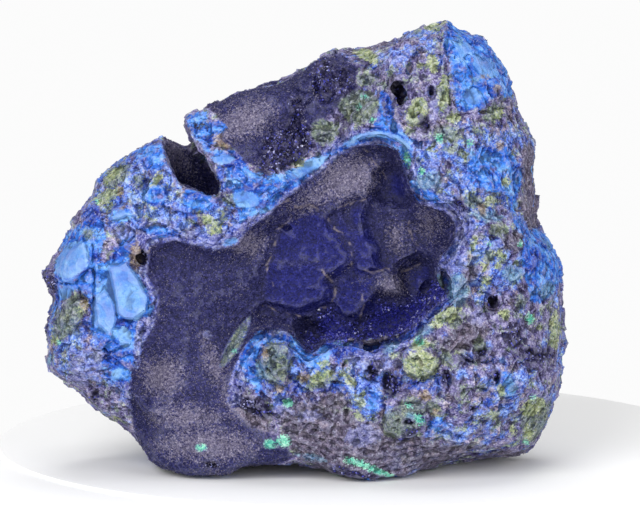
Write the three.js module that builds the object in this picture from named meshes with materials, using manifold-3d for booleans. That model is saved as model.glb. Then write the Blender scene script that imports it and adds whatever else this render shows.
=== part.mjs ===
// An azurite specimen: one broken lump of azurite, malachite and matrix, with a wide velvet-lined hollow in
// its front and a deep cleft in its upper edge. It grew as one piece, so it is one closed solid.
//
// Millimetres, +Z up. The table is z = 0, and the lump rests on the flats worn on its underside.
// The front faces -Y. The front is drawn in a drawing plane: u runs right, v runs up, and depth d runs
// towards the viewer. The line of sight comes from LOOK_DOWN above the horizon, so a point that is drawn at
// (u, v) keeps its place in the drawing whatever its depth.

import * as THREE from "three";
import { mergeVertices } from "three/addons/utils/BufferGeometryUtils.js";
import Module from "manifold-3d";

const LOOK_DOWN = THREE.MathUtils.degToRad(9);

// How finely the surface is drawn: directions round the middle, and rings from the middle outwards.
const DIRECTIONS = 150;
const FLOOR_RINGS = [0.16, 0.32, 0.47, 0.61, 0.74, 0.87, 1];
const FACE_RINGS = [0.09, 0.22, 0.36, 0.5, 0.64, 0.76, 0.87, 0.95];
const SIDE_RINGS = [0.2, 0.42, 0.64, 0.84];
const BACK_RINGS = [1, 0.93, 0.8, 0.62, 0.4, 0.2];

const WALL_LEAN = 1.6; // how far the hollow's wall leans inwards, from rim to floor
const EDGE_ROUND = 9; // width of the rounding where the front face turns into the side
const BACK_ROUND = 11; // the same where the side turns into the back face
const BACK_SHRINK = 0.86; // the back face's outline against the front's
const BACK_EVENING = 20; // the back's outline is evened out over this many degrees to either side
const SIDE_BULGE = 4; // how far the side stands out between the two outlines
const SINK = 1.2; // how far the underside would reach below the table before it is worn flat
const ROUGH = { size: 15, height: 1.5, fine_size: 6, fine_height: 0.7 };

const MIDDLE = [-8.5, 47.5]; // where the rings centre, inside the hollow
const BACK_MIDDLE = { x: -1, z: 46 };
const BACK_DEPTH = 45; // how far the back would bulge before its faces are broken off

// The outline, clockwise from the top of the upper left block: u, v, and its depth.
const OUTLINE = [
  [-35, 82.5, 6], [-31.5, 80, 4], [-28, 78, 2], [-29, 81.5, 4], [-31, 86, 6], [-26, 89, 5],
  [-21.5, 91, 4], [-15, 94, 2], [-10.5, 95, 1], [-4, 96.5, 0], [1, 99.5, -1], [5, 103, -2],
  [10, 105, -3], [13.5, 104, -4], [19, 105, -6], [23, 106, -4], [26, 109, 0], [30, 110, 2],
  [36, 112, 2], [39, 109, 1], [43, 108, 0], [46.5, 106, -1], [48.5, 103, -2], [51, 100, -3],
  [53, 95, -3], [53, 91.5, -3], [54.5, 87, -2], [57, 83.5, -2], [58.5, 77, -4], [57, 73.5, -4],
  [58, 68.5, -4], [58, 63, -3], [58.5, 59, 0], [62, 55.5, 2], [64, 52, 3], [65.5, 46, 4],
  [64, 43, 4], [65.5, 37, 2], [66, 31, 0], [65, 25, 0], [65, 20.5, 0], [64, 15.5, 0], [62, 10.5, 0],
  [60, 6, 0], [58, 3, 0], [54, 1, 0], [48, 1, 2], [39, 1, 8], [33, -1, 14], [27, -3, 22],
  [21.5, -4, 26], [16.5, -5, 27], [10, -3.5, 26], [4.5, -1, 25], [-3, 0, 25], [-10, -0.5, 25],
  [-16, -2, 25], [-23.5, -3.5, 25], [-31, -3, 23], [-35, -1, 21], [-38.5, 0, 19], [-40.5, 4, 17],
  [-42.5, 8, 15], [-45.5, 11, 13], [-50, 13, 11], [-54, 16, 9], [-57, 18, 8], [-61, 21, 6],
  [-65, 23.5, 5], [-64.5, 29, 4], [-66, 34.5, 3], [-62.5, 39.5, 4], [-63.5, 43.5, 4], [-66, 47, 2],
  [-64, 51, 2], [-60.5, 55, 2], [-59, 60, 2], [-55, 65, 2], [-52, 69, 3], [-51.5, 72, 3],
  [-48, 75, 4], [-43.5, 78, 5], [-38.5, 80.5, 6],
];

// The hollow's rim: u, v. At the lower left the hollow runs out into the front face without a rim.
const RIM = [
  [-38, 55], [-32, 56], [-28, 55], [-22, 53.5], [-16.5, 55], [-13.5, 59], [-8.5, 62.5], [-5, 66],
  [-1, 69], [4, 73], [9, 77], [14, 79.5], [20, 80], [23.5, 78], [25, 74], [26.5, 68.5], [30, 65],
  [35, 63], [38, 60], [37, 55], [33.5, 51], [34, 46.5], [35.5, 43], [33, 40], [30, 37], [27, 34],
  [23, 32], [16.5, 30], [11.5, 31], [6.5, 31], [3.5, 29], [1, 28], [-1, 30], [-3.5, 33], [-8, 34],
  [-12, 32.5], [-15, 29], [-17, 25], [-19.5, 17], [-23.5, 13.5], [-31, 11.5], [-38.5, 13.5],
  [-42.5, 18.5], [-41.5, 23.5], [-40, 30], [-37, 35], [-36, 42], [-39, 47],
];

// Broken faces: the place of each one's middle, its depth there, and how fast the depth grows along u and v.
const FRONT_FACES = {
  upperLeftBlock: { at: [-41, 68.5], depth: 20, tilt: [0.25, -0.35] },
  leftBlock: { at: [-52, 41], depth: 24, tilt: [0.2, 0] },
  leftBlockInner: { at: [-42, 38.5], depth: 25, tilt: [0, 0] },
  leftUnderside: { at: [-48.5, 17], depth: 18, tilt: [0.1, 0.6] },
  velvetSlope: { at: [-28.5, 28.5], depth: 23, tilt: [0.03, -0.05] },
  leftFoot: { at: [-27, 6], depth: 27, tilt: [0.1, 0.1] },
  crustMiddle: { at: [-3.5, 7], depth: 31, tilt: [0.1, 0.15] },
  island: { at: [-6.5, 25], depth: 31, tilt: [0, 0] },
  lowerMiddle: { at: [10, 17], depth: 33, tilt: [0.02, 0] },
  lowerBulk: { at: [31.5, 20], depth: 36, tilt: [0, 0] },
  lowerRight: { at: [49, 23.5], depth: 32, tilt: [-0.3, 0] },
  rightEdge: { at: [61.5, 30], depth: 20, tilt: [-0.9, 0] },
  rightCorner: { at: [55, 8.5], depth: 19, tilt: [-0.5, 0.5] },
  crustRight: { at: [31.5, 5], depth: 30, tilt: [-0.1, 0.5] },
  rightMiddle: { at: [43, 48.5], depth: 33, tilt: [-0.15, 0] },
  rightBoss: { at: [59, 50], depth: 23, tilt: [-0.6, -0.1] },
  upperRight: { at: [36.5, 68.5], depth: 29, tilt: [-0.1, -0.15] },
  rightShoulder: { at: [51.5, 73.5], depth: 21, tilt: [-0.5, -0.1] },
  peakRightFace: { at: [44, 97], depth: 19, tilt: [-0.35, -0.3] },
  peakLeftFace: { at: [29, 97], depth: 21, tilt: [0.1, -0.3] },
  middleBlockTop: { at: [10, 96], depth: 14, tilt: [0.05, -0.35] },
  middleBlockFace: { at: [-16, 87], depth: 16, tilt: [0.1, -0.3] },
  middleHollow: { at: [-3.5, 82], depth: 14, tilt: [0, 0] },
  middleLedge: { at: [8, 86], depth: 16, tilt: [0, -0.1] },
  blueBand: { at: [-10, 71], depth: 25, tilt: [0.05, 0] },
  blueBandLeft: { at: [-22, 66], depth: 23, tilt: [0, 0] },
  blueBandRight: { at: [16.5, 83.5], depth: 26, tilt: [0, -0.1] },
  bandCorner: { at: [28, 78.5], depth: 28, tilt: [0, -0.1] },
};

// The same for the floor of the hollow, whose faces are the broad lobes of its velvet lining.
const FLOOR_FACES = {
  litFace: { at: [11.5, 71], depth: 17, tilt: [0, -0.35] },
  navyBowl: { at: [3, 56], depth: 17, tilt: [0, 0] },
  lowerBowl: { at: [-1, 43.5], depth: 18, tilt: [0, 0.1] },
  rightBowl: { at: [23.5, 59], depth: 12, tilt: [0, 0] },
  shoulder: { at: [33, 60], depth: 19, tilt: [0.3, 0] },
  pocket: { at: [29.5, 45], depth: 7, tilt: [0, 0] },
  lowerRight: { at: [15, 42], depth: 12, tilt: [0, 0.2] },
  trough: { at: [15, 34], depth: 8, tilt: [0, 0] },
  troughLeft: { at: [-1, 33.5], depth: 12, tilt: [0, 0] },
  velvet: { at: [-26, 43.5], depth: 21, tilt: [0, 0] },
  velvetLow: { at: [-28.5, 20], depth: 24.5, tilt: [0, -0.15] },
  velvetMiddle: { at: [-13.5, 46], depth: 20, tilt: [0, 0] },
};

// The flat faces that the lump broke along at its sides and back: which way each one looks, and how far it
// lies from HEART.
const HEART = new THREE.Vector3(0, 0, 48);
const BREAKS = {
  backMiddle: { looks: [0.08, 1, 0.12], reach: 37 },
  backUpperRight: { looks: [0.3, 0.8, 0.55], reach: 47 },
  backUpperLeft: { looks: [-0.4, 0.72, 0.55], reach: 41 },
  backLeft: { looks: [-0.72, 0.68, -0.05], reach: 48.5 },
  backRight: { looks: [0.75, 0.62, 0.05], reach: 54 },
  backLowRight: { looks: [0.35, 0.85, -0.38], reach: 44 },
  backLowLeft: { looks: [-0.3, 0.82, -0.45], reach: 43 },
  topLeft: { looks: [-0.45, 0.3, 0.85], reach: 47 },
  topMiddle: { looks: [-0.2, 0.45, 0.87], reach: 50.5 },
  topRight: { looks: [0.5, 0.25, 0.82], reach: 73 },
  rightUpper: { looks: [0.93, 0.3, 0.2], reach: 63 },
  rightLower: { looks: [0.9, 0.25, -0.3], reach: 69.5 },
  leftLower: { looks: [-0.75, 0.2, -0.6], reach: 64.5 },
};

// Cuts into the front: an outline in the drawing plane, and the depth of the cut's floor at (u, v).
const CLEFT = {
  outline: [
    [-35.2, 84], [-34, 78.5], [-31, 70.5], [-25, 68], [-22, 66.5], [-21, 69.5], [-24.5, 76],
    [-27.5, 79], [-28.5, 82], [-31.5, 87],
  ],
  floor: (u) => 10 - 1.5 * (u + 35),
};
const CLEFT_TOP = {
  // the cleft opens right through the lump at its top
  outline: [
    [-35.1, 84.5], [-34, 81.8], [-32.2, 80.7], [-29.3, 79.4], [-28.3, 78.2], [-27.6, 78.6], [-28.4, 80.4],
    [-29.4, 81.8], [-30.1, 83.8], [-30.6, 88], [-34.5, 89],
  ],
  floor: () => -60,
};
const LEFT_HOLE = {
  outline: [[-40.6, 54], [-39.6, 54.9], [-38.4, 54], [-38.5, 51], [-38.9, 48.6], [-40, 48.2], [-40.8, 50.5]],
  floor: () => 12,
};
const PEAK_PIT = {
  outline: [[21.8, 95], [23.4, 95.6], [25.1, 93.2], [25.2, 90], [24.2, 88.3], [23, 89], [22.6, 92]],
  floor: () => 12,
};
const NOTCH = {
  outline: [[-1, 33], [4.5, 33], [3.5, 29.5], [1.3, 27.2], [0, 29.5]],
  floor: () => 10,
};
const RIGHT_PIT = {
  outline: [[45.7, 42.6], [46.8, 43.3], [47.7, 41.5], [47.4, 38.8], [46.4, 37.6], [45.8, 39.2], [46.2, 41]],
  floor: () => 24,
};
const ARCH = {
  // the foot of the front is lifted clear of the table here
  outline: [
    [-17.8, -9], [-17.2, -3.5], [-16.4, -1.4], [-12.3, -0.5], [-3.5, -0.2], [4.3, -1.2], [7.3, -3.2], [8.6, -9],
  ],
  floor: () => 4,
};
const CUT_FROM = 60; // every cut starts this far in front of the middle plane

// Smooth noise in -1 to 1 whose lumps are `size` across.
function noise(x, y, z, size) {
  const lattice = (i, j, k) => {
    const s = Math.sin(i * 127.1 + j * 311.7 + k * 74.7) * 43758.5453;
    return 2 * (s - Math.floor(s)) - 1;
  };
  const [i, j, k] = [x, y, z].map((c) => Math.floor(c / size));
  const [a, b, c] = [x / size - i, y / size - j, z / size - k].map((t) => t * t * (3 - 2 * t));
  const mix = THREE.MathUtils.lerp;
  const edge = (dj, dk) => mix(lattice(i, j + dj, k + dk), lattice(i + 1, j + dj, k + dk), a);
  return mix(mix(edge(0, 0), edge(1, 0), b), mix(edge(0, 1), edge(1, 1), b), c);
}

function roughness(x, y, z) {
  return ROUGH.height * noise(x, y, z, ROUGH.size) + ROUGH.fine_height * noise(z, x, y, ROUGH.fine_size);
}

// Each face is a plane, and near faces count for more, so the surface is faceted with worn edges.
function depthOf(faces, u, v) {
  const softness = 6; // square millimetres
  const fall = 2.5; // how fast a face's say falls off with distance
  let sum = 0;
  let total = 0;
  for (const { at, depth, tilt } of Object.values(faces)) {
    const du = u - at[0];
    const dv = v - at[1];
    const weight = (du * du + dv * dv + softness) ** -fall;
    sum += weight * (depth + tilt[0] * du + tilt[1] * dv);
    total += weight;
  }
  return sum / total;
}

const frontDepth = (u, v) => depthOf(FRONT_FACES, u, v) + roughness(u, 0, v);
const floorDepth = (u, v) => depthOf(FLOOR_FACES, u, v) + 0.5 * roughness(u, 50, v);
const backDepth = (x, z) => BACK_DEPTH + roughness(x, 90, z);

// A point of the drawing plane, in the part's own frame.
function place(u, v, d) {
  return new THREE.Vector3(u, -d, v / Math.cos(LOOK_DOWN) + d * Math.tan(LOOK_DOWN));
}

// Where the ray from MIDDLE at this angle last crosses the outline: its distance, and what `third` is there.
function crossing(outline, angle) {
  const ray = [Math.cos(angle), Math.sin(angle)];
  let found = { reach: 0, third: 0 };
  outline.forEach((p, i) => {
    const q = outline[(i + 1) % outline.length];
    const [px, py, ex, ey] = [p[0] - MIDDLE[0], p[1] - MIDDLE[1], q[0] - p[0], q[1] - p[1]];
    const across = ray[0] * ey - ray[1] * ex;
    if (Math.abs(across) < 1e-9) return;
    const reach = (px * ey - py * ex) / across;
    const share = (px * ray[1] - py * ray[0]) / across;
    if (share < 0 || share > 1 || reach < found.reach) return;
    found = { reach, third: THREE.MathUtils.lerp(p[2] ?? 0, q[2] ?? 0, share) };
  });
  return found;
}

// The same, evened out over a wide angle, so that the outline's nicks don't run on into the back.
function evenCrossing(outline, angle) {
  const steps = Array.from({ length: 19 }, (_, n) => (BACK_EVENING * (n - 9)) / 9);
  const spread = steps.map((step) => crossing(outline, angle + THREE.MathUtils.degToRad(step)));
  const mean = (key) => spread.reduce((sum, found) => sum + found[key], 0) / spread.length;
  return { reach: mean("reach"), third: mean("third") };
}

// A quarter circle from 0 to 1, flat from x = 1 on.
const quarter = (x) => Math.sqrt(1 - (1 - Math.min(1, Math.max(0, x))) ** 2);

// One meridian: the points from the middle of the hollow, out to the outline, and round to the back's middle.
function meridian(angle) {
  const [ca, sa] = [Math.cos(angle), Math.sin(angle)];
  const edge = crossing(OUTLINE, angle);
  const rim = crossing(RIM, angle).reach;
  const at = (reach) => [MIDDLE[0] + reach * ca, MIDDLE[1] + reach * sa];
  const points = [];

  for (const share of FLOOR_RINGS) {
    const [u, v] = at(share * (rim - WALL_LEAN));
    points.push(place(u, v, floorDepth(u, v)));
  }
  for (const share of [0, ...FACE_RINGS]) {
    const reach = THREE.MathUtils.lerp(rim, edge.reach, share);
    const [u, v] = at(reach);
    const full = frontDepth(u, v);
    points.push(place(u, v, edge.third + (full - edge.third) * quarter((edge.reach - reach) / EDGE_ROUND)));
  }

  const front = place(...at(edge.reach), edge.third);
  points.push(front);
  const even = evenCrossing(OUTLINE, angle);
  const back = place(...at(even.reach), even.third);
  back.x = BACK_MIDDLE.x + BACK_SHRINK * (back.x - BACK_MIDDLE.x);
  back.z = BACK_SHRINK * back.z - SINK;
  const outwards = new THREE.Vector3(back.x - BACK_MIDDLE.x, 0, back.z - BACK_MIDDLE.z).normalize();
  back.y = backDepth(back.x, back.z) - BACK_ROUND;
  for (const share of SIDE_RINGS) {
    const p = front.clone().lerp(back, share);
    const out = SIDE_BULGE * Math.sin(Math.PI * share) + roughness(p.x, p.y, p.z) * share;
    p.addScaledVector(outwards, out);
    points.push(p);
  }
  for (const share of BACK_RINGS) {
    const x = THREE.MathUtils.lerp(BACK_MIDDLE.x, back.x, share);
    const z = THREE.MathUtils.lerp(BACK_MIDDLE.z, back.z, share);
    const inwards = (1 - share) * Math.hypot(back.x - BACK_MIDDLE.x, back.z - BACK_MIDDLE.z);
    const depth = backDepth(x, z) - BACK_ROUND * (1 - quarter(inwards / BACK_ROUND));
    points.push(new THREE.Vector3(x, depth, z));
  }
  return points;
}

function solidFrom(geometry) {
  geometry.deleteAttribute("normal");
  geometry.deleteAttribute("uv");
  const merged = mergeVertices(geometry, 1e-4);
  return new wasm.Manifold(new wasm.Mesh({
    numProp: 3,
    vertProperties: merged.attributes.position.array,
    triVerts: new Uint32Array(merged.index.array),
  }));
}

function geometryFrom(solid) {
  const { vertProperties, triVerts } = solid.getMesh();
  const geometry = new THREE.BufferGeometry();
  geometry.setAttribute("position", new THREE.BufferAttribute(vertProperties, 3));
  geometry.setIndex(new THREE.BufferAttribute(triVerts, 1));
  geometry.computeVertexNormals();
  return geometry;
}

// The whole lump before any cut: every meridian joined to the next, with a fan at each end.
function lump() {
  const meridians = [];
  for (let i = 0; i < DIRECTIONS; i += 1) meridians.push(meridian((2 * Math.PI * i) / DIRECTIONS));
  const rings = meridians[0].length;
  const positions = meridians.flat().flatMap((p) => p.toArray());
  const frontPole = positions.length / 3;
  const backPole = frontPole + 1;
  const backMiddleDepth = backDepth(BACK_MIDDLE.x, BACK_MIDDLE.z);
  positions.push(...place(...MIDDLE, floorDepth(...MIDDLE)).toArray());
  positions.push(BACK_MIDDLE.x, backMiddleDepth, BACK_MIDDLE.z);
  const faces = [];
  for (let i = 0; i < DIRECTIONS; i += 1) {
    const here = i * rings;
    const next = ((i + 1) % DIRECTIONS) * rings;
    faces.push(frontPole, here, next);
    for (let j = 0; j + 1 < rings; j += 1) {
      faces.push(here + j, here + j + 1, next + j + 1);
      faces.push(here + j, next + j + 1, next + j);
    }
    faces.push(backPole, next + rings - 1, here + rings - 1);
  }
  const geometry = new THREE.BufferGeometry();
  geometry.setAttribute("position", new THREE.Float32BufferAttribute(positions, 3));
  geometry.setIndex(faces);
  return solidFrom(geometry);
}

// The solid that a cut takes away: its outline drawn out from its floor to well in front of the lump.
function cutter({ outline, floor }) {
  const shape = new THREE.Shape(outline.map(([u, v]) => new THREE.Vector2(u, v)));
  const geometry = new THREE.ExtrudeGeometry(shape, { depth: 1, bevelEnabled: false });
  const position = geometry.attributes.position;
  for (let i = 0; i < position.count; i += 1) {
    const [u, v] = [position.getX(i), position.getY(i)];
    const p = place(u, v, position.getZ(i) > 0.5 ? CUT_FROM : floor(u, v));
    position.setXYZ(i, p.x, p.y, p.z);
  }
  return solidFrom(geometry);
}

// Everything past a plane: it looks this way, and lies this far from `from`.
function beyond(looks, reach, from) {
  const size = 400; // well past the lump each way
  const box = new THREE.BoxGeometry(size, size, size);
  box.translate(0, 0, size / 2 + reach);
  const out = new THREE.Vector3(...looks).normalize();
  box.applyQuaternion(new THREE.Quaternion().setFromUnitVectors(new THREE.Vector3(0, 0, 1), out));
  box.translate(from.x, from.y, from.z);
  return solidFrom(box);
}

const wasm = await Module();
wasm.setup();

let body = lump();
const CUTS = [CLEFT, CLEFT_TOP, LEFT_HOLE, PEAK_PIT, NOTCH, RIGHT_PIT, ARCH];
for (const cut of CUTS) body = body.subtract(cutter(cut));
for (const { looks, reach } of Object.values(BREAKS)) body = body.subtract(beyond(looks, reach, HEART));
body = body.subtract(beyond([0, 0, -1], 0, new THREE.Vector3())); // the table wears the underside to flats

const specimen = new THREE.Mesh(
  geometryFrom(body),
  new THREE.MeshStandardMaterial({ color: 0x34386e, roughness: 0.75, metalness: 0 }),
);
specimen.name = "azurite_specimen";

const part = new THREE.Group();
part.add(specimen);
export default part;
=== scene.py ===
# Some colours are painted light and shade: glints, highlights on edges and crests, light on lit faces, and shade
# in pits, pores and creases.
# The looks of a broken azurite lump, made around its imported solid.
#
# The CAD solid is remeshed finely and given its broken facets, hollow, plates, cracks and pits. One mineral
# material colours it: each mineral lies where its areas and patches are drawn on the front, and in random
# patches elsewhere. Little crystals stand on the velvet and in the trough.
#
# Shapes on the front are drawn in the same plane as the solid's: u runs right and v up, in millimetres,
# and the
# depth d runs towards a viewer who looks down by LOOK_DOWN.

import math

import bpy
import numpy as np
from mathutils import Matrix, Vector


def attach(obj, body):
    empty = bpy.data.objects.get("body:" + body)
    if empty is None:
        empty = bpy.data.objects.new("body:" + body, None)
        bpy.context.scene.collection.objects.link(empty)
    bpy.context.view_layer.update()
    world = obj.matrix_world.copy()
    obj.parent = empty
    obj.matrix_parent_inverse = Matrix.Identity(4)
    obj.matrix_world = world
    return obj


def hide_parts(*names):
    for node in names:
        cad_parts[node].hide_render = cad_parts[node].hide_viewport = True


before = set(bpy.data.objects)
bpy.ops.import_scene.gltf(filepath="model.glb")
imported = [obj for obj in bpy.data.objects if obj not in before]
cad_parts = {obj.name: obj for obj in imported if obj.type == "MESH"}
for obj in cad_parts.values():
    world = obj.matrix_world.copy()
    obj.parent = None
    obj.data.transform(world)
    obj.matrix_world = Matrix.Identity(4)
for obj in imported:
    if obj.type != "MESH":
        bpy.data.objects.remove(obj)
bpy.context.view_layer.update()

MM = 0.001
NODE = "azurite_specimen"
LOOK_DOWN = math.radians(9)
VIEW = np.array([0.0, -math.cos(LOOK_DOWN), math.sin(LOOK_DOWN)])  # towards the viewer
TOWARDS = np.array([0.0, -1.0, math.tan(LOOK_DOWN)])  # one millimetre of depth, at a fixed (u, v)

COARSE, FINE = 0.7, 0.45  # the working meshes' spacing, in millimetres
TRIANGLES = 196_000  # the finished lump's
SOFT = 0.16  # how softly the scallops meet, in millimetres
# How far from its outline a scallop is measured and from its middle it goes on tilting, and how far the hollow's
# rim is measured, in millimetres. Both are whole numbers, which cuts the distances to whole millimetres.
SCALLOP_REACH = 9
SUNK = 0.8  # how far the broken surface is set back, to stay in the solid's box, in millimetres
RIM_REACH = 9

# ---- What is drawn on the front, in millimetres of the drawing plane ----

# The hollow's rim, as the solid has it.
RIM = [
    (-38, 55), (-32, 56), (-28, 55), (-22, 53.5), (-16.5, 55), (-13.5, 59), (-8.5, 62.5), (-5, 66),
    (-1, 69), (4, 73), (9, 77), (14, 79.5), (20, 80), (23.5, 78), (25, 74), (26.5, 68.5), (30, 65),
    (35, 63), (38, 60), (37, 55), (33.5, 51), (34, 46.5), (35.5, 43), (33, 40), (30, 37), (27, 34),
    (23, 32), (16.5, 30), (11.5, 31), (6.5, 31), (3.5, 29), (1, 28), (-1, 30), (-3.5, 33), (-8, 34),
    (-12, 32.5), (-15, 29), (-17, 25), (-19.5, 17), (-23.5, 13.5), (-31, 11.5), (-38.5, 13.5),
    (-42.5, 18.5), (-41.5, 23.5), (-40, 30), (-37, 35), (-36, 42), (-39, 47),
]

# How wide the hollow's side is, from its rim to its floor, near these points of the rim: u, v and width.
RIM_WIDTHS = [
    (-40, 45, 2.5), (-28, 55, 2.5), (-41, 20, 4), (-30, 12, 6), (-19, 20, 5), (-15, 30, 4), (-13, 58, 4),
    (-3, 67, 7),
    (9, 77, 4), (20, 80, 2.5), (26, 71, 3), (36, 62, 7), (36, 54, 6), (34.5, 45, 3), (30, 37, 2.5),
    (20, 31, 2.5),
    (8, 31, 2.5), (1, 28, 2), (-5, 33.5, 3),
]

# The scallops that the hollow's right half is broken into. Each is the depth at its middle, how fast that
# grows
# along u and v, the height and width of the lip along its edge, the slope of its walls, and its outline.
SCALLOPS = {
    "upper_slope": (17.8, -0.04, 0.1, 0, 1, 1, [
        (-19, 56), (-15.25, 59), (-11.5, 60.5), (-7.75, 61.75), (-5.5, 64.75), (-3.25, 68), (-0.25, 70),
        (2.5, 72), (5.25, 74.75), (10.25, 78), (14.25, 79), (10.25, 76), (6.5, 72.5), (3.5, 68.5),
        (1.5, 65),
        (-1, 62.75), (-3.5, 61.75), (-6, 60), (-7.5, 58), (-8.5, 51.5), (-12.25, 50.5), (-16, 51.5)
    ]),
    "lit_face": (17.2, 0.06, -0.22, 0.1, 1, 1.2, [
        (14.25, 79), (15.5, 78.25), (17.5, 75.25), (20, 72.25), (21, 69.25), (18.5, 66.25), (17, 64.25),
        (15, 64.75), (11.5, 65), (8.5, 64.25), (5.75, 63), (3.5, 63.5), (1.5, 65.25), (3.5, 69), (6.5, 73),
        (10.25, 76.5)
    ]),
    "navy": (16, 0.09, -0.03, 0.8, 2.6, 1, [
        (-6.75, 58), (-5, 60.5), (-2.5, 62.25), (0.5, 63.25), (3.5, 63.25), (5.75, 61.75), (7.75, 58.75),
        (10, 56.75), (11.75, 54.25), (12.25, 51.5), (11.5, 48.5), (9.5, 46), (7.5, 45.5), (5.5, 47.25),
        (3.5, 50.25), (0.25, 50.5), (-3.5, 50), (-7, 50.5), (-8, 53.5), (-7, 56)
    ]),
    "lower": (16.1, 0.07, -0.05, 0.6, 2.2, 1, [
        (-8.25, 51.5), (-3.5, 50.25), (0.25, 50.75), (3.5, 50.25), (5.5, 47), (8, 44.5), (7.75, 41.75),
        (6.5, 39.75), (3.75, 38.25), (-1, 37), (-5.25, 38), (-9, 39.5), (-10.5, 42.25), (-10, 46),
        (-9.5, 49.5)
    ]),
    "middle": (15.7, 0.16, 0, 0.5, 1.5, 1.3, [
        (7, 60.5), (9, 62.5), (11.5, 59), (14.5, 59), (17, 63), (16.75, 60.5), (17.75, 57), (19.5, 54.25),
        (19.5, 51), (21, 49.25), (18.5, 47.5), (15.5, 46.75), (12.25, 47), (11.75, 49.5), (12.25, 52.25),
        (11.5, 54.75), (9.75, 57), (7.75, 58.75)
    ]),
    "scallop": (15.3, 0.35, -0.1, 0.2, 1, 1.8, [
        (11.5, 64), (13, 64.75), (15, 64.25), (16.5, 63), (15.5, 60.5), (14, 58.75), (12, 59), (11, 61)
    ]),
    "right": (13.9, 0.22, 0.04, 0.6, 1.8, 1.6, [
        (17.5, 64.5), (19, 66.25), (22, 66.75), (24.5, 65), (26.25, 63), (26, 59.5), (27.25, 56.5),
        (28.5, 54.25), (29.25, 51.5), (29, 49.75), (26.5, 48.75), (24.25, 47.75), (22.5, 48.5),
        (21.25, 49.5),
        (19.5, 51), (19.5, 54.5), (17.75, 57.25), (16.75, 61)
    ]),
    "far_right": (15.4, 0.25, 0.05, 0.5, 1.5, 1.3, [
        (26.25, 62.5), (28.5, 64.25), (31.5, 65), (34, 64), (35.75, 61.75), (36.25, 59), (34.5, 56),
        (33, 53),
        (31, 50.5), (29.25, 50.5), (28.5, 54.25), (27.25, 56.5), (26, 59.25)
    ]),
    "recess": (11.5, 0.1, 0.1, 0.3, 1, 1.8, [
        (20.5, 72), (22.5, 73), (24.75, 72.5), (26.25, 70.25), (26.25, 67.5), (25.25, 65.75), (23.25, 66),
        (21.25, 66.75), (19.75, 66.25), (19, 67), (21, 69.25)
    ]),
    "block": (16.5, 0.1, 0.1, 0, 1, 1.5, [
        (15.5, 78.5), (17, 79.25), (21, 79.5), (23.5, 78.25), (24.25, 75.5), (24.25, 73), (22.25, 72.75),
        (20.75, 72), (20, 72.25), (17.5, 75.25)
    ]),
    "shoulder": (17, 0.1, 0.1, 0, 1, 1.2, [
        (24.75, 73), (26.25, 71), (27.25, 67.25), (30.25, 66.5), (34, 64.5), (31.5, 65), (28.5, 64.25),
        (26.25, 62.75), (24.5, 64.75), (26.25, 67.5), (26.25, 70.25)
    ]),
    "plateau": (15.4, 0.06, -0.12, 0.2, 1, 1.2, [
        (22.5, 48.5), (24.5, 47.75), (26, 48.25), (26.5, 45.75), (27, 43), (25.25, 41), (22, 40.5),
        (19, 41.5),
        (17, 44), (18.5, 47), (21, 49)
    ]),
    "dark_hole": (10.5, 0.25, -0.2, 0, 1, 2, [
        (25.5, 48), (29, 49.75), (31, 50.25), (32, 48.5), (31.5, 45.5), (30.25, 43.25), (27.75, 42.75),
        (26.5, 44.25)
    ]),
    "grain_slope": (14, 0.3, 0.1, 0.2, 1, 1.3, [
        (31, 50.5), (33.25, 53), (35, 55), (34, 50.5), (33.5, 46), (31.5, 45.5), (32, 48.5)
    ]),
    "pocket": (9, 0, 0, 0, 1, 2, [
        (31.5, 45.25), (33.5, 45.75), (35.75, 43.75), (35.5, 41), (33, 39.5), (31, 41), (30.5, 43)
    ]),
    "low_middle": (14.1, 0.1, -0.03, 0.4, 1.5, 1.5, [
        (7.5, 45.5), (9.5, 46), (11.75, 48.25), (12.25, 47), (15.5, 46.75), (18.5, 47.5), (17, 44),
        (19, 41.5),
        (19.75, 39.5), (16.5, 37), (12.75, 35.5), (9, 36), (7.5, 38), (7, 39.75), (8, 41.75), (8.25, 44.25)
    ]),
    "trough_right": (10.5, 0, 0.22, 0.6, 2, 1.3, [
        (19, 41), (22, 40.25), (25.5, 40.75), (27.5, 42.75), (30.25, 43), (31.5, 40.5), (31, 38),
        (27.75, 34.75), (24, 32.5), (19, 31), (15.5, 31.5), (13.5, 34.5), (16, 37)
    ]),
    "trough_middle": (11.5, 0, 0.2, 0.5, 1.5, 1.4, [
        (7, 39.5), (7.75, 37.5), (9.25, 35.75), (13, 35.25), (14.5, 33), (14, 31.5), (10.25, 30.75),
        (6.5, 30.5), (4, 32), (3, 34.75), (4, 38)
    ]),
    "trough_left": (13.6, -0.1, 0.15, 0.4, 1.5, 1.3, [
        (-5.25, 37.75), (-1, 36.75), (3.5, 38), (3, 34.75), (3.5, 33), (-1, 33.5), (-5.5, 34), (-8.5, 34.5),
        (-10.5, 37.25), (-9.5, 39.25)
    ]),
    "conical": (8, 0, 0, 0, 1, 2, [
        (-0.25, 33), (2.5, 33.5), (3.75, 31.75), (2.75, 29.5), (1, 28.75), (-0.25, 30.5)
    ]),
}

# The scallops with the cleanest, bluest velvet.
NAVY = ["navy", "lower", "middle", "scallop", "recess", "low_middle", "trough_right", "trough_middle",
        "conical", "pocket", "dark_hole"]

# The scallops lined with coarser, glassier crystals.
TROUGHS = ["trough_right", "trough_middle", "conical", "pocket"]

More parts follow.
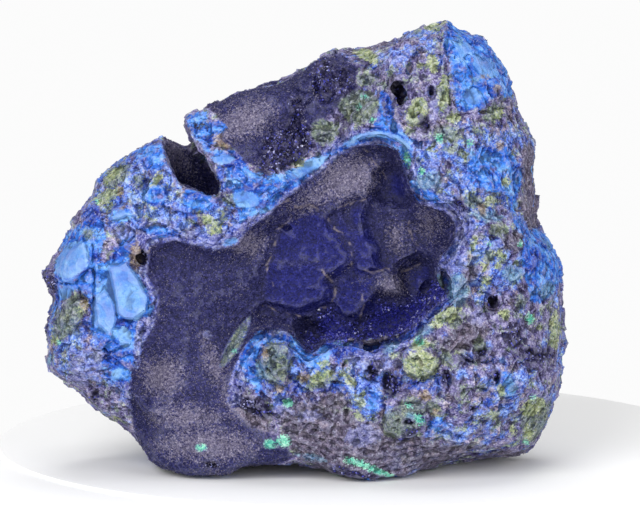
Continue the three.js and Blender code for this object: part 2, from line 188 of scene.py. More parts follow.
# Plates and lumps that stand out, and how high.
RAISED = [
    (1.4, [(-60.5, 53.5), (-55, 56), (-53, 50.5), (-57, 45), (-60.5, 45), (-62, 49)]),
    (1.8, [(-48.5, 49), (-44, 50.5), (-41, 46), (-38.5, 42), (-39, 38), (-42, 36), (-46, 36.5), (-47, 43)]),
    (0.9, [(-51.5, 41), (-49.5, 43.5), (-46.8, 40), (-46.5, 36), (-48, 32), (-51.5, 35)]),
    (1.1, [(-60.5, 40), (-53.5, 41.5), (-54, 38), (-58, 33), (-61.5, 31.5)]),
    (1.9, [(-11, 30), (-4, 30.5), (-3, 27), (-5, 20), (-9.5, 21), (-11, 26)]),
    (1.1, [(0, 26), (6.5, 29), (9, 26), (8, 21), (1.5, 20), (-1, 22)]),
    (2.4, [(24, 28), (28, 30), (32, 29), (33.5, 25.5), (30, 21.5), (25, 22.5)]),
    (1.4, [(31.5, 50), (41, 49), (41.5, 42), (35, 40), (31.5, 41)]),
    (1.6, [(20.5, 15), (30, 15.5), (30.5, 8), (24, 6), (20, 8.5)]),
    (1.4, [(-1.5, 96.5), (2, 97), (2.5, 94), (0, 92.5), (-2, 94)]),
    (1.1, [(27, 90.5), (30.5, 91.5), (30.5, 86), (26, 84), (24, 86)]),
    (1.4, [(-48, 64), (-43, 65.5), (-41.5, 62), (-48, 61.5)]),
    (1.4, [(-39, 69.5), (-35, 70), (-34, 66), (-38, 63), (-40, 65.5)]),
]

# Cracks: half width, depth, and the line each follows.
CRACKS = [
    (0.45, 0.9, [(-52.5, 55), (-52, 46), (-52.3, 41), (-52.5, 34)]),
    (0.45, 0.9, [(-46.5, 37.5), (-43, 35.5), (-41, 37), (-38.5, 39)]),
    (0.4, 0.9, [(-61, 44.8), (-57.5, 45), (-53, 49), (-51.8, 47.3)]),
    (0.8, 1.6, [(-10.5, 18), (-9, 14.5), (-7, 12)]),
    (0.45, 0.9, [(-14.5, 36.5), (-18, 31), (-20.8, 25.8)]),
    (0.5, 1.0, [(35.8, 108), (35, 100), (36.3, 92), (36.5, 86)]),
    (0.35, 0.8, [(40.3, 102), (43, 102.4), (45.3, 101)]),
    (0.5, 1.0, [(27.5, 90), (30, 87), (31, 83)]),
    (0.5, 0.9, [(34.5, 23.5), (36.3, 21), (35.5, 19)]),
    (0.4, 0.8, [(37, 66.5), (39, 63.5)]),
    (0.4, 0.7, [(46.5, 73), (47.5, 69)]),
    (0.4, 0.8, [(34, 86), (42, 87.5), (51, 89)]),
    (0.5, 1.0, [(-52, 28.5), (-48, 28), (-43, 30)]),
    (0.4, 0.8, [(57, 9), (60, 14), (61, 16)]),
    (0.4, 0.8, [(-3, 79.5), (-1.5, 87), (2.5, 92)]),
    (0.45, 0.8, [(38, 28), (43, 25), (47, 26), (48, 22)]),
]

# Small pits: u, v, half width, half height and depth.
PITS = [
    (-52.3, 17, 1, 1.6, 2.6), (31.3, 92.8, 0.8, 1.5, 2.5),
    (20.5, 21.5, 1.4, 2.4, 2.4), (16.5, 24, 1.6, 2, 1.3), (35.8, 21.8, 0.8, 2, 2),
    (48, 21.8, 0.8, 1.8, 2.2),
    (26, 10.8, 1.7, 0.9, 2), (-22.5, 0, 2, 0.9, 2), (-4.5, 58.8, 1.6, 0.7, 1.8), (41.5, 14.2, 1, 1, 1.4),
    (-14, 14.5, 2.4, 2.4, 1.2), (40, 29.5, 2, 0.8, 1.2), (44, 28, 1.6, 1, 1.2), (3, 94.5, 1.2, 2.5, 1.6),
    (-1.5, 83.5, 2, 2.2, 1.6), (9.5, 96.5, 1.3, 2.4, 1.6), (22, 84, 1, 2, 1.4), (39, 68, 0.6, 0.6, 0.8),
]

# Where each mineral shows on the front, as outlines of its larger areas. Bluish is where the rock is bluer.
AREAS = {
    "velvet": [
        RIM,
        [(-43, 17), (-20, 17), (-14, 10), (-5, 6), (-3, 2), (-8, -1), (-17, -2), (-31, -5), (-38.5, -1),
         (-42, 6)],
        [(-26, 92), (-16, 94.5), (-3.5, 96.5), (1, 101), (9, 102.5), (13, 99), (13, 92), (7, 88), (4, 84),
         (2, 79), (-3, 75), (-9, 73.5), (-14, 75), (-18, 79), (-21, 81), (-19, 84)],
        [(-35.5, 83), (-31, 81), (-21.5, 71), (-21.5, 67), (-30, 69), (-34, 75)],
        [(-43, 17), (-30, 17), (-20, 14), (-18, 18), (-30, 26), (-43, 24)],
    ],
    "azure": [
        [(-28, 83.5), (-25, 84), (-22, 85.5), (-19, 85.5), (-18.5, 83), (-20.5, 81), (-23, 80),
         (-23.5, 78.5), (-16, 78), (-14, 76.5), (-14, 74), (-12, 73), (-5, 72), (-3.5, 73.5), (-1, 74),
         (2, 76), (10, 79.5), (12, 81.5), (17, 83.5), (18, 86), (19, 93), (20.5, 92), (22, 88.5),
         (22.5, 85), (26.5, 81), (27, 78.5), (26, 75), (25, 72), (21.5, 79), (18.5, 81), (14, 80), (10, 78),
         (6.5, 77), (3.5, 73.5), (-5, 67), (-7, 64), (-16, 60), (-17, 66), (-18.5, 68.5), (-20.5, 69),
         (-19, 70.5), (-19.5, 73.5), (-25, 78.5)],
        [(36, 111.5), (45, 107), (48, 105), (51, 100), (51.5, 96.5), (52.5, 95), (53, 91.5), (51.5, 91),
         (49, 92), (46.5, 91), (44.5, 89), (40, 88), (38, 88), (36, 101), (34.5, 103.5)],
        [(55, 58), (58, 59), (63, 55), (64, 53.5), (65.5, 47), (65, 45), (63, 44), (60, 41), (58.5, 40),
         (56.5, 41), (54, 50), (54, 53.5)],
        [(41.5, 78.5), (48, 79), (51, 78.5), (52, 76), (53.5, 75), (54.5, 72), (52, 62), (56, 58),
         (53.5, 58), (51.5, 60), (51, 66), (49, 68.5), (46.5, 68), (44, 68.5), (40, 71)],
        [(-61, 56), (-55, 60), (-52, 62), (-50, 60.5), (-49, 57), (-51, 50.5), (-49, 50.5), (-45, 56),
         (-42, 56.5), (-41.5, 55), (-43, 53), (-43.5, 50.5), (-42.5, 48), (-41, 47), (-37.5, 42),
         (-37, 38.5), (-38, 37), (-40, 36.5), (-41.5, 34), (-43, 21), (-46, 20), (-49, 21), (-50, 25),
         (-49.5, 28.5), (-51, 30), (-53.5, 35), (-53, 38.5), (-53.5, 41.5), (-55, 43), (-56.5, 43.5),
         (-60, 41), (-63, 35.5), (-63.5, 38), (-62, 41), (-62, 48.5), (-60.5, 52)],
        [(-52, 71), (-50, 75), (-44, 77), (-49, 73), (-51, 69.5)],
        [(-16, 26), (-15, 30), (-12, 33), (-10, 34), (-8.5, 32), (-5, 33), (-2, 32), (-1, 30), (1, 28),
         (3.5, 28.5), (5, 31), (7, 30), (6.5, 26), (4.5, 23), (-1, 26), (-3.5, 30.5), (-8, 31), (-10.5, 30),
         (-12, 26.5), (-11.5, 23), (-9, 17), (-10.5, 16), (-15, 23.5)],
    ],
    "deep": [
        [(33, 46), (35, 45), (36, 43), (35.5, 41), (31.5, 38.5), (30, 36.5), (25, 33), (19, 30),
         (19, 28.5), (26.5, 31.5), (36.5, 41), (37, 43.5), (36, 46), (34, 47)],
        [(6.5, 33.5), (10, 33), (14, 30.5), (17, 30), (21, 30.5), (21, 29), (17, 28), (13, 28.5), (10, 27),
         (9, 25), (5, 30)],
    ],
    "pale": [
        [(9, 79.5), (13, 82), (17, 83), (23, 82), (25, 80.5), (27, 78), (25, 78.5), (23, 80.5), (19, 81.5),
         (14.5, 81), (11, 79)],
    ],
    "mint": [
        [(10, 2), (14, 1.5), (23, -3), (21.5, -4), (13.5, 0), (10, 1)],
    ],
    "brown": [
        [(-6, 16), (10, 15), (20, 9), (32, 6), (46, 5), (32, -1), (18, -5), (8, -4), (2, 0), (-5, 5)],
        [(55, 80), (57, 80.5), (58.5, 77), (58, 75), (57, 73), (58.5, 66), (58.5, 59), (56, 59), (53, 65),
         (55, 71), (54.5, 75), (53, 77)],
    ],
    # Dark areas: the dark druse, and painted shade along the bottom edge.
    "dark": [
        [(-66.5, 36), (-63.5, 39), (-61.5, 40), (-63, 37), (-64, 35), (-63, 31.5), (-65, 33)],
        [(-3.5, 91.5), (-1, 92), (0, 88), (-1, 83.5), (-7, 78.5), (-10.5, 79.5), (-3.5, 86.5)],
        [(6.5, 0.5), (23, -3.5), (16.5, -4), (10, -3), (6.5, -1.5)],
    ],
    "bluish": [
        [(-52, 68.5), (-50, 75), (-45, 78), (-35, 82), (-31, 71), (-17, 67), (-16, 57), (-31, 58),
         (-43.5, 56), (-51, 60), (-55, 60), (-58.5, 57), (-56.5, 62)],
        [(26.5, 81), (36.5, 80), (41.5, 83.5), (56.5, 83.5), (56.5, 80), (53.5, 76), (56, 57), (54, 57),
         (49, 62), (41.5, 60.5), (34, 65), (29, 66), (26.5, 73.5)],
        [(34, 58.5), (54, 57), (56.5, 50.5), (54, 45), (49, 43), (41.5, 43.5), (36.5, 48.5), (34.5, 53.5)],
        [(6.5, 30), (20, 28.5), (23.5, 23.5), (24, 17), (16.5, 10), (6.5, 22)],
        [(-16, 33.5), (-1, 35), (8, 31), (9, 20), (-1, 16.5), (-9, 16), (-15, 20)],
        [(34, 11), (49, 16), (54, 11), (49, 6), (39, 3.5), (34, 6)],
        [(63, 43.5), (65.5, 36), (66, 30), (64.5, 21), (60, 11), (63, 20), (64, 31)],
        [(19, 104), (34, 108.5), (35.5, 101), (29, 101), (24, 96), (20, 98.5)],
        [(-63.5, 33.5), (-41, 33.5), (-41.5, 20), (-51, 20), (-61, 25), (-64.5, 27)],
        [(20, 6), (31.5, 8), (44, 6), (34, 2), (23, 0.5)],
    ],
}

# Smaller patches of each mineral, as ovals: u, v, half width, half height and, where it is turned, its
# turn.
PATCHES = {
    "azure": [
        (-26.5, 86, 3.25, 1.75, 20), (-38, 77, 5, 3.25, -30), (-37, 67, 3.25, 2.75),
        (-26.5, 66, 4.25, 2.75, -10), (-28, 62, 1.75, 1.25, -20), (-45, 62, 3.25, 1.75),
        (30, 67.5, 4.75, 1.25, -40), (17, 16, 3, 1.5, -90), (50, 20, 3.5, 2.5, -70),
        (33, 10.5, 2.25, 1.5, 20), (-35.5, 58, 4, 1.25, -10),
    ],
    "deep": [
        (-2, 19.5, 1.75, 1.5), (7.5, 19.5, 3.75, 1, 10), (-52.5, 62, 2.75, 2.5), (-4.5, 68, 3.5, 0.5, 50),
        (-20.5, 72, 2.5, 1.25, -90), (-44.5, 35, 2, 1.25, -30), (-47.5, 26, 2.5, 2.5),
        (36.5, 108.5, 2, 0.5, -90), (43, 105.5, 1.5, 1.25), (45.5, 15.5, 1.25, 1, 60),
        (56.5, 51.5, 2.75, 2.25, 90), (-51.5, 52, 1.75, 1, -70), (23, 21, 2.25, 1.25, -70),
        (34.5, 32.5, 0.75, 0.75), (28, 20.5, 3, 1.25, 10), (-61.5, 44.5, 3.5, 0.5, -90),
        (20.5, 89.5, 3.5, 1.25, -70), (-54, 35, 1.75, 1.25, 80),
    ],
    "pale": [
        (-57.5, 51, 5.25, 3.75, 50), (-59, 43, 2, 1.5, 40), (-44, 43, 7.5, 4.5, -70),
        (-49.5, 38, 5, 3, -80), (-44.5, 32, 2.75, 1.75, -80), (-46.5, 22.5, 2, 1.25, 50),
        (1, 74, 6, 1.5, 30), (39.5, 103.5, 2, 1.75), (45, 99, 3.75, 2.25, -40), (42, 91.5, 2.25, 2),
        (-45.5, 62, 1.75, 1.25), (-18, 55.5, 2.25, 1, 10), (-20, 76, 3, 1.25), (-14.5, 66, 3.5, 2, -10),
    ],
    "lavender": [
        (22.5, 100.5, 2.25, 1.25), (32.5, 90, 5, 1.25, 80), (38, 50.5, 4.5, 2, 20), (32, 70, 3, 2),
        (-5.5, 14, 3.25, 1.25), (17, 26, 6.5, 2.5), (28.5, 68.5, 1.5, 1.25), (-22.5, 55, 6, 2, -10),
        (-45, 58, 3.25, 1.5), (-37, 60, 4.25, 1.25), (-40.5, 32, 3.25, 0.75, 80),
        (-54, 24.5, 5.5, 3.75, 40), (31.5, 74.5, 1.5, 1.25, 50), (-4, 71, 2, 1, 60),
        (33, 64, 2.5, 1.25, -20), (58.5, 16.5, 4.25, 1.25), (1, 12.5, 3.5, 1.25), (43, 37, 1.75, 1.5),
        (6, 75.5, 2.75, 1, 20), (41.5, 58.5, 1.5, 1.25), (47.5, 54.5, 2.25, 0.75, -20),
        (14.5, 7.5, 4.5, 2.75, 10),
    ],
    "green": [
        (-48.5, 67, 4.25, 1.5, 20), (-36.5, 71, 2.25, 1, 50), (-47.5, 72, 3, 1, 40),
        (-23, 60.5, 3.25, 1.25, -30), (-22.5, 58, 2, 0.75), (0, 95.5, 2, 1.5, -30), (-1.5, 75.5, 1.75, 1.5),
        (15.5, 102, 3.75, 1.5, -30), (32, 109, 2.25, 1.5, -20), (35, 110.5, 1.25, 0.5, 50),
        (32, 99.5, 2.5, 1.25, -80), (28.5, 99, 1, 0.75, 60), (34.5, 92, 5, 1.5, 90), (28, 87.5, 4, 2.5, 70),
        (37, 86, 1.75, 1.25, 10), (48, 87, 1.75, 1, 60), (50, 70.5, 1.5, 1, -80), (46, 66, 1.25, 1.25),
        (42, 55, 2, 1, 80), (48.5, 52.5, 1.75, 1, -10), (44.5, 49.5, 1, 0.75, 80), (48, 49.5, 1, 0.75, -40),
        (45, 46, 1.25, 1.25), (35, 37, 4.5, 1.75, 30), (29, 25, 4.5, 3.5), (28.5, 30, 2.5, 1.75, 20),
        (49.5, 37.5, 1.5, 1.25), (56.5, 36.5, 1, 1), (58.5, 34.5, 1, 0.75), (62.5, 33.5, 5, 1.5, -90),
        (57, 14.5, 3.25, 2, 20), (52, 8.5, 1.5, 0.75, -60), (47, 12.5, 1.5, 1, -70),
        (49, 18.5, 1.75, 1, -80), (4, 22, 3.25, 1.5, 20), (5, 25.5, 1.5, 1, 20), (11.5, 21, 1.75, 1, -50),
        (13.5, 12.5, 1.5, 1, -70), (-54.5, 39.5, 2, 1, 80), (-38.5, 5, 3.5, 0.75, -20),
        (-47.5, 11.5, 1.5, 0.75), (-32, 20, 1.75, 0.75, -60), (-62, 31, 1.25, 1, -40), (22, 27, 0.75, 0.75),
        (56, 8, 2.25, 1.25, -90),
    ],
    "olive": [
        (-46.5, 72, 4, 2.25, 40), (-41, 71, 1.25, 1.25), (-18.5, 66, 1.75, 1.5), (13.5, 89, 5, 4.25),
        (5, 83, 3.5, 3), (47, 87.5, 3, 1.75, 40), (43, 83, 1.75, 1, -10), (35.5, 82, 3.75, 2, -10),
        (42, 65.5, 2.25, 1.5), (48, 58.5, 2.25, 1.75), (37.5, 36, 2.75, 1.5, 40), (54, 40.5, 1.75, 1, -90),
        (24, 10.5, 4.75, 4), (32, 14.5, 2.25, 1.5, -30), (57.5, 11.5, 5.75, 3.5, 80),
        (-58.5, 36.5, 6.5, 3, 60), (-7, 25.5, 5.5, 3.75, -90), (-17, 30.5, 7.5, 1.5, 60),
        (-24, 32.5, 1, 0.75, -30), (27, 15, 3.75, 2, -10), (35, 27, 2.25, 1.5, -50),
        (43.5, 29.5, 2.25, 1.75, 90), (4, 21, 4, 1.75, 20), (28, 108, 1.5, 1.25), (-53.5, 57.5, 1.5, 1.25),
        (15.5, 95.5, 2.5, 1.75, 10), (45.5, 52, 2, 1.5, 70), (61, 13.5, 2.75, 0.5, 80),
    ],
    "teal": [
        (51.5, 47.5, 2.75, 2), (38, 43.5, 4.5, 2.5, -90), (31, 70.5, 3.5, 2.25), (45.5, 62, 4, 1.5, -10),
        (42.5, 95.5, 1.5, 0.75, 40), (-10.5, 23.5, 2.5, 1.25, -70), (51.5, 19.5, 1.75, 1.25, -60),
        (21.5, 29.5, 2.25, 1, 30), (30, 33.5, 4.25, 1, 40), (61, 54.5, 2.75, 0.75, -50),
        (-64, 26.5, 1.75, 1.25, -90), (9, 31, 2.25, 1, -10), (27, 12, 1.75, 1, -10), (-19, 70, 1, 0.5, 50),
        (60.5, 43.5, 2.5, 1.75, 60), (2, 2, 4.25, 0.75, -10), (38.5, 105.5, 2, 0.75, 90),
    ],
    "mint": [
        (-8.5, 5.5, 1.75, 1.25, 10), (-5, 6, 1.75, 1.5), (25.5, 76, 2.25, 0.75, -80),
        (15, 91.5, 0.75, 0.5, -20), (13.5, 89, 0.5, 0.5, -40), (17, 85.5, 0.75, 0.5, 20),
        (-17, 28.5, 1, 0.5), (28.5, 31, 1.25, 1), (-51.5, 65.5, 0.5, 0.5), (-25.5, 4.5, 1.5, 1),
        (28.5, 11.5, 1.75, 1, -40), (-4, 15.5, 1.25, 1), (-61, 30.5, 0.5, 0.5, -20),
        (46, 55, 0.75, 0.5, -20), (53.5, 55, 0.75, 0.5, 70), (29, 73, 0.75, 0.75), (56, 36.5, 1.25, 1, -80),
        (55.5, 5.5, 1.25, 0.5, -20), (57, 17, 0.75, 0.5), (33.5, 81, 1, 1), (41, 80, 1, 0.75),
        (26, 15, 1, 0.5, -30),
    ],
    "ochre": [
        (-41.5, 52, 3.5, 1.5, 90), (-54.5, 40, 1.75, 1, 90), (-42, 51.5, 1.75, 1, 90),
        (-37.5, 53.5, 2.25, 1, 40), (-6, 19, 1.25, 1, 20), (0, 22, 1.5, 1.25), (44, 63.5, 1.5, 1, -70),
        (32.5, 13.5, 1, 0.75), (-25.5, 13.5, 0.75, 0.5, -20), (-9.5, 28, 1.75, 0.75, -80),
        (45, 96.5, 1.25, 0.5), (48, 93.5, 1.25, 1), (-3.5, 56.5, 2, 1.25, -30), (41, 52, 0.75, 0.5),
        (-19.5, 80.5, 3.25, 1.75, -20), (30, 17.5, 1.75, 1.25), (-45.5, 68, 1.25, 0.75, -90),
        (48.5, 79.5, 1.25, 1, -80), (19.5, 18.5, 0.75, 0.75), (-35.5, 35.5, 2, 1, 80),
    ],
    "brown": [
        (-37, 52, 3, 2, 70), (19, 104.5, 5.5, 1.25, 10), (52, 2, 7.5, 1.5), (39.5, 32, 7, 3, 20),
        (-15.5, 13, 8.5, 5, -40), (7.5, 15.5, 4, 2.25, 10), (22.5, 94, 2.5, 1.25, -80),
        (-31.5, 75, 5.5, 1.75, -70), (20, 103.5, 1.25, 1, 30), (37.5, 63, 2.25, 1.75),
        (38, 56.5, 1.75, 1.5), (41, 48, 2.25, 2), (51.5, 55.5, 3.25, 2.25, -10),
    ],
    # Dark patches: the dark druse, and painted shade on the pits and holes.
    "dark": [
        (-6, 76.5, 7, 3, 40), (-1, 82, 3, 3.5), (5, 96.5, 3.5, 5), (52, 32.5, 3.5, 2, 90),
        (57.5, 27.5, 5, 2), (17.5, 24, 3.25, 1.75, 50), (21.5, 20, 3.25, 2.25, 90),
        (-11.5, 14.5, 4.25, 2, -30), (-64, 46, 4.25, 1.75, -60), (-52, 17, 1.25, 1),
        (23.5, 92, 3.5, 1.25, 70), (31.5, 92.5, 1.25, 0.75, -90), (46.5, 40.5, 2.5, 1, 80),
        (29.5, 85, 2.5, 1, -60), (35, 21.5, 2, 1, 70), (47.5, 22, 2, 1.25, 70), (26, 11, 1.75, 0.75),
        (-4, 78, 7, 3.5, 20), (6, 95, 5, 2.75, 80), (10, 95, 3.5, 2.5, 80), (38, 65.5, 1.5, 0.75, -80),
        (-39.5, 52, 3.25, 0.75, -90), (26, 8, 3.5, 1, 30), (41.5, 14, 1.5, 1.25), (-22.5, -0, 2.25, 0.75),
        (39.5, 26, 2.25, 1), (43.5, 27.5, 2, 1, 40), (20, 88, 3, 0.5, -80),
    ],
    "bluish": [
        (49, 19, 6.5, 5.5), (32, 20, 3.75, 3),
    ],
}

# Pale crests in the hollow, as lines, where a painted highlight runs along each crest.
CRESTS = [
    [(-3.25, 61.5), (-5.25, 59.5), (-6.75, 58.5), (-7.25, 55), (-8.25, 51.5), (-9.5, 49.5), (-8.25, 46.5),
     (-7.5, 43.5)],
    [(-7, 64.5), (-3.5, 66), (-2, 64), (2, 64.5), (4.5, 62.75), (6.5, 60.5), (7.5, 59)],
    [(7.5, 59), (9.75, 57.5), (11.5, 55), (12.25, 52.5), (11.75, 49.5)],
    [(3.5, 50.5), (5.5, 47.25), (8, 44.5), (7.5, 41.75), (6.5, 39.75), (4, 38.75)],
    [(14.25, 49), (17, 47.75), (20.5, 49), (23, 48)],
    [(17.5, 64.5), (15.5, 66), (11.5, 65), (8.5, 64)],
    [(26.25, 60.75), (26, 59), (27.25, 56), (28.75, 54)],
    [(24.25, 48), (26.75, 49), (29, 50.25)],
    [(14, 43.5), (15, 39.75), (14, 36.5)],
    [(-10.25, 39.75), (-5.25, 38), (-1, 37)],
    [(15, 78.5), (17.5, 75.25), (20.5, 71.5)],
]

# Grey-brown on the velvet in these ovals: partly dust, partly painted light on faces turned to the light, such
# as the lit face and the plateau.
DUST_AND_LIGHT = [
    (11, 71, 7.5, 5.5, 20), (1, 64, 10, 3.2, 40), (-19, 84, 4, 3, 40), (21, 45, 6, 3.5), (-24, 5, 13, 4),
    (-35, 22, 5, 5), (-16, 17, 4, 5), (-13, 55, 5, 3), (-29, 12, 9, 3), (31, 60, 2, 3),
    (-14.5, 85.5, 8, 4, 25), (22.5, 56, 2.5, 4), (-32, 78, 2.5, 6, 30), (8.5, 51, 1.5, 5), (14, 43, 3, 5),
    (-22, 25, 2, 8, 20),
]


# Where each mineral lies at random on the sides and back: how sharp the borders of its patches are, how
# large
# the patches are in millimetres, the seed, and the level that the noise has to pass, so how rare it is.
ELSEWHERE = {
    "velvet": (9, 26, 501, 0.34), "azure": (8, 20, 511, 0.16), "deep": (8, 9, 516, 0.42),
    "pale": (8, 13, 521, 0.5), "lavender": (8, 9, 526, 0.4), "green": (8, 10, 531, 0.42),
    "olive": (8, 10, 536, 0.36), "teal": (8, 9, 538, 0.48), "mint": (6, 8, 541, 0.6), "ochre": (6, 7, 551, 0.52),
    "brown": (8, 26, 561, 0.02), "dark": (8, 12, 571, 0.42), "bluish": (8, 22, 581, 0),
}
MOST = 4.0  # distances in or out of a mineral are kept up to this, in millimetres


def smoothstep(low, high, value):
    t = np.clip((value - low) / (high - low), 0, 1)
    return t * t * (3 - 2 * t)


def lerp(a, b, share):
    return a + (b - a) * share


class Drawing:
    """Points of the surface as they lie in the drawing plane."""

    def __init__(self, points):
        self.u = points[:, 0]
        self.d = -points[:, 1]
        self.v = (points[:, 2] - self.d * math.tan(LOOK_DOWN)) * math.cos(LOOK_DOWN)

    def inside(self, outline, reach=6.0):
        """How far each point lies inside a closed outline, negative outside, and never past reach. It is cut to
        whole millimetres where reach is a whole number."""
        corners = np.array(outline, float)
        low, high = corners.min(0) - reach, corners.max(0) + reach
        near = (self.u > low[0]) & (self.u < high[0]) & (self.v > low[1]) & (self.v < high[1])
        u, v = self.u[near], self.v[near]
        nearest = np.full(u.shape, reach ** 2)
        within = np.zeros(u.shape, bool)
        for (au, av), (bu, bv) in zip(corners, np.roll(corners, -1, axis=0)):
            eu, ev = bu - au, bv - av
            t = np.clip(((u - au) * eu + (v - av) * ev) / (eu * eu + ev * ev), 0, 1)
            nearest = np.minimum(nearest, (u - au - t * eu) ** 2 + (v - av - t * ev) ** 2)
            if ev != 0:
                within ^= ((av > v) != (bv > v)) & (u < au + (v - av) * eu / ev)
        found = np.full(self.u.shape, -reach)
        found[near] = np.where(within, 1, -1) * np.sqrt(nearest)
        return found

    def in_spot(self, u, v, across, up, turn=0):
        """The same for an oval, turned anticlockwise by turn degrees. Its distances are rough."""
        c, s = math.cos(math.radians(turn)), math.sin(math.radians(turn))
        du, dv = self.u - u, self.v - v
        r = np.hypot((du * c + dv * s) / across, (dv * c - du * s) / up) + 1e-6
        return (1 - r) * np.maximum(np.hypot(du, dv) / r * (r > 1), min(across, up))

    def from_line(self, line):
        """Distance to an open line."""
        nearest = np.full(self.u.shape, 1e9)
        for (au, av), (bu, bv) in zip(line, line[1:]):
            eu, ev = bu - au, bv - av
            t = np.clip(((self.u - au) * eu + (self.v - av) * ev) / (eu * eu + ev * ev), 0, 1)
            nearest = np.minimum(nearest, (self.u - au - t * eu) ** 2 + (self.v - av - t * ev) ** 2)
        return np.sqrt(nearest)

    def mineral(self, name):
        """How far inside a mineral's areas each point lies."""
        found = [self.inside(outline) for outline in AREAS.get(name, [])]
        found += [self.in_spot(*patch) for patch in PATCHES.get(name, [])]
        return np.clip(np.max(found, axis=0), -MOST, MOST)


# ---- Noise ----

def hashed(cell, salt):
    """A random number from 0 to 1 for each whole-numbered cell."""
    x, y, z = (cell[:, k].astype(np.int64).astype(np.uint32) for k in range(3))
    h = x * np.uint32(0x8DA6B343) + y * np.uint32(0xD8163841) + z * np.uint32(0xCB1AB31F)
    h = h + np.uint32((salt * 0x9E3779B9) & 0xFFFFFFFF)
    for shift, factor in ((15, 0x2C1B3C6D), (12, 0x297A2D39)):
        h ^= h >> np.uint32(shift)
        h *= np.uint32(factor)
    h ^= h >> np.uint32(15)
    return h / 2.0 ** 32


def noise(points, size, salt):
    """Smooth noise from -1 to 1 whose lumps are about size across."""
    q = points / size
    cell = np.floor(q)
    t = q - cell
    t = t * t * (3 - 2 * t)
    total = np.zeros(len(points))
    for corner in np.ndindex(2, 2, 2):
        weight = np.prod(np.where(corner, t, 1 - t), axis=1)
        total += weight * (2 * hashed(cell + corner, salt) - 1)
    return total


def layered(points, size, salt, layers=3):
    """Noise with finer and finer noise on it, from about -1 to 1."""
    return sum(noise(points, size / 2 ** k, salt + k) / 2 ** k for k in range(layers)) / 1.6


def nearest_cell(points, size, salt):
    """The random cell that each point is in: which it is, where in it the point lies, and how far the point is
    from its middle, all in units of size."""
    q = points / size
    base = np.floor(q)
    cell, away = base.copy(), np.zeros_like(q)
    nearest = np.full(len(q), 9.0)
    for offset in np.ndindex(3, 3, 3):
        other = base + offset - 1
        apart = q - other - np.stack([hashed(other, salt + k) for k in range(3)], axis=1)
        squared = (apart ** 2).sum(1)
        closer = squared < nearest
        nearest[closer], cell[closer], away[closer] = squared[closer], other[closer], apart[closer]
    return cell, away, np.sqrt(nearest)


def facets(points, size, salt, tilt):
    """Broken facets: each random cell is a tilted plane of its own, in units of size."""
    bent = [noise(points, size * 0.8, salt + k) for k in (11, 12, 13)]
    cell, away, _ = nearest_cell(points + 0.22 * size * np.stack(bent, axis=1), size, salt)
    slope = np.stack([hashed(cell, salt + k) for k in (4, 5, 6)], axis=1) * 2 - 1
    return (away * slope).sum(1) * tilt + 0.25 * (hashed(cell, salt + 7) - 0.5)


def knobs(points, size, salt):
    """Rounded knobs that touch, from 0 to 1."""
    return 1 - np.clip(nearest_cell(points, size, salt)[2] / 0.8, 0, 1) ** 2


# ---- The lump's mesh ----

def add(name, mesh):
    piece = bpy.data.objects.new(name, mesh)
    bpy.context.scene.collection.objects.link(piece)
    return piece


def applied(piece, kind, **settings):
    """The piece's mesh after one modifier."""
    modifier = piece.modifiers.new("once", kind)
    for key, value in settings.items():
        setattr(modifier, key, value)
    graph = bpy.context.evaluated_depsgraph_get()
    mesh = bpy.data.meshes.new_from_object(piece.evaluated_get(graph), depsgraph=graph)
    piece.modifiers.clear()
    piece.data = mesh
    return mesh


def points_of(mesh):
    found = np.empty(len(mesh.vertices) * 3, np.float32)
    mesh.vertices.foreach_get("co", found)
    return found.reshape(-1, 3).astype(float) / MM


def set_points(mesh, points):
    mesh.vertices.foreach_set("co", (points * MM).astype(np.float32).ravel())
    mesh.update()


def normals_of(mesh):
    found = np.empty(len(mesh.vertices) * 3, np.float32)
    mesh.vertex_normals.foreach_get("vector", found)
    return found.reshape(-1, 3).astype(float)


def edges_of(mesh):
    found = np.empty(len(mesh.edges) * 2, np.int32)
    mesh.edges.foreach_get("vertices", found)
    return found.reshape(-1, 2)


def evened(values, edges, times):
    """Values at the vertices, averaged with their neighbours' again and again."""
    here = np.concatenate([edges[:, 0], edges[:, 1]])
    there = np.concatenate([edges[:, 1], edges[:, 0]])
    count = np.maximum(np.bincount(here, minlength=len(values)), 1)
    for _ in range(times):
        sums = [np.bincount(here, weights=column, minlength=len(values)) for column in values[there].T]
        values = 0.5 * values + 0.5 * np.stack(sums, axis=1) / count[:, None]
    return values


def hollow_floor(drawing, points, rim):
    """The depth of the hollow's floor: the velvet slope, nearly level with the rim on the left, and the
    scallops."""
    here = Drawing(points)
    here.u = drawing.u + 0.5 * noise(points, 5, 31) + 0.25 * noise(points, 1.8, 33)
    here.v = drawing.v + 0.5 * noise(points, 5, 32) + 0.25 * noise(points, 1.8, 34)
    low = 1 - smoothstep(18, 38, here.v)
    level = np.minimum(rim, 26) - 0.9 + 0.6 * low - 1.6 * smoothstep(42, 52, here.v)
    depths = [lerp(level, 16.9, smoothstep(-34, -7, here.u) * (1 - low))]
    for depth, tilt_u, tilt_v, lip, width, slope, outline in SCALLOPS.values():
        middle = np.mean(outline, axis=0)
        within = here.inside(outline, SCALLOP_REACH)
        across = np.clip(here.u - middle[0], -SCALLOP_REACH, SCALLOP_REACH)
        up = np.clip(here.v - middle[1], -SCALLOP_REACH, SCALLOP_REACH)
        lip_here = lip * np.exp(-np.maximum(within, 0) / width)
        outside = slope * np.maximum(-within, 0) + 3 * np.maximum(-within - 3, 0)
        depths.append(depth + tilt_u * across + tilt_v * up + lip_here + outside)
    lowest = np.min(depths, axis=0)
    return lowest - SOFT * np.log(sum(np.exp((lowest - depth) / SOFT) for depth in depths))


def weighted(places, values, u, v, reach):
    """Values known at a few places of the drawing plane, averaged by how near each place is."""
    total, weights = np.zeros(len(u)), np.zeros(len(u))
    for (pu, pv), value in zip(places, values):
        weight = 1 / ((u - pu) ** 2 + (v - pv) ** 2 + reach ** 2) ** 2
        total += weight * value
        weights += weight
    return total / weights


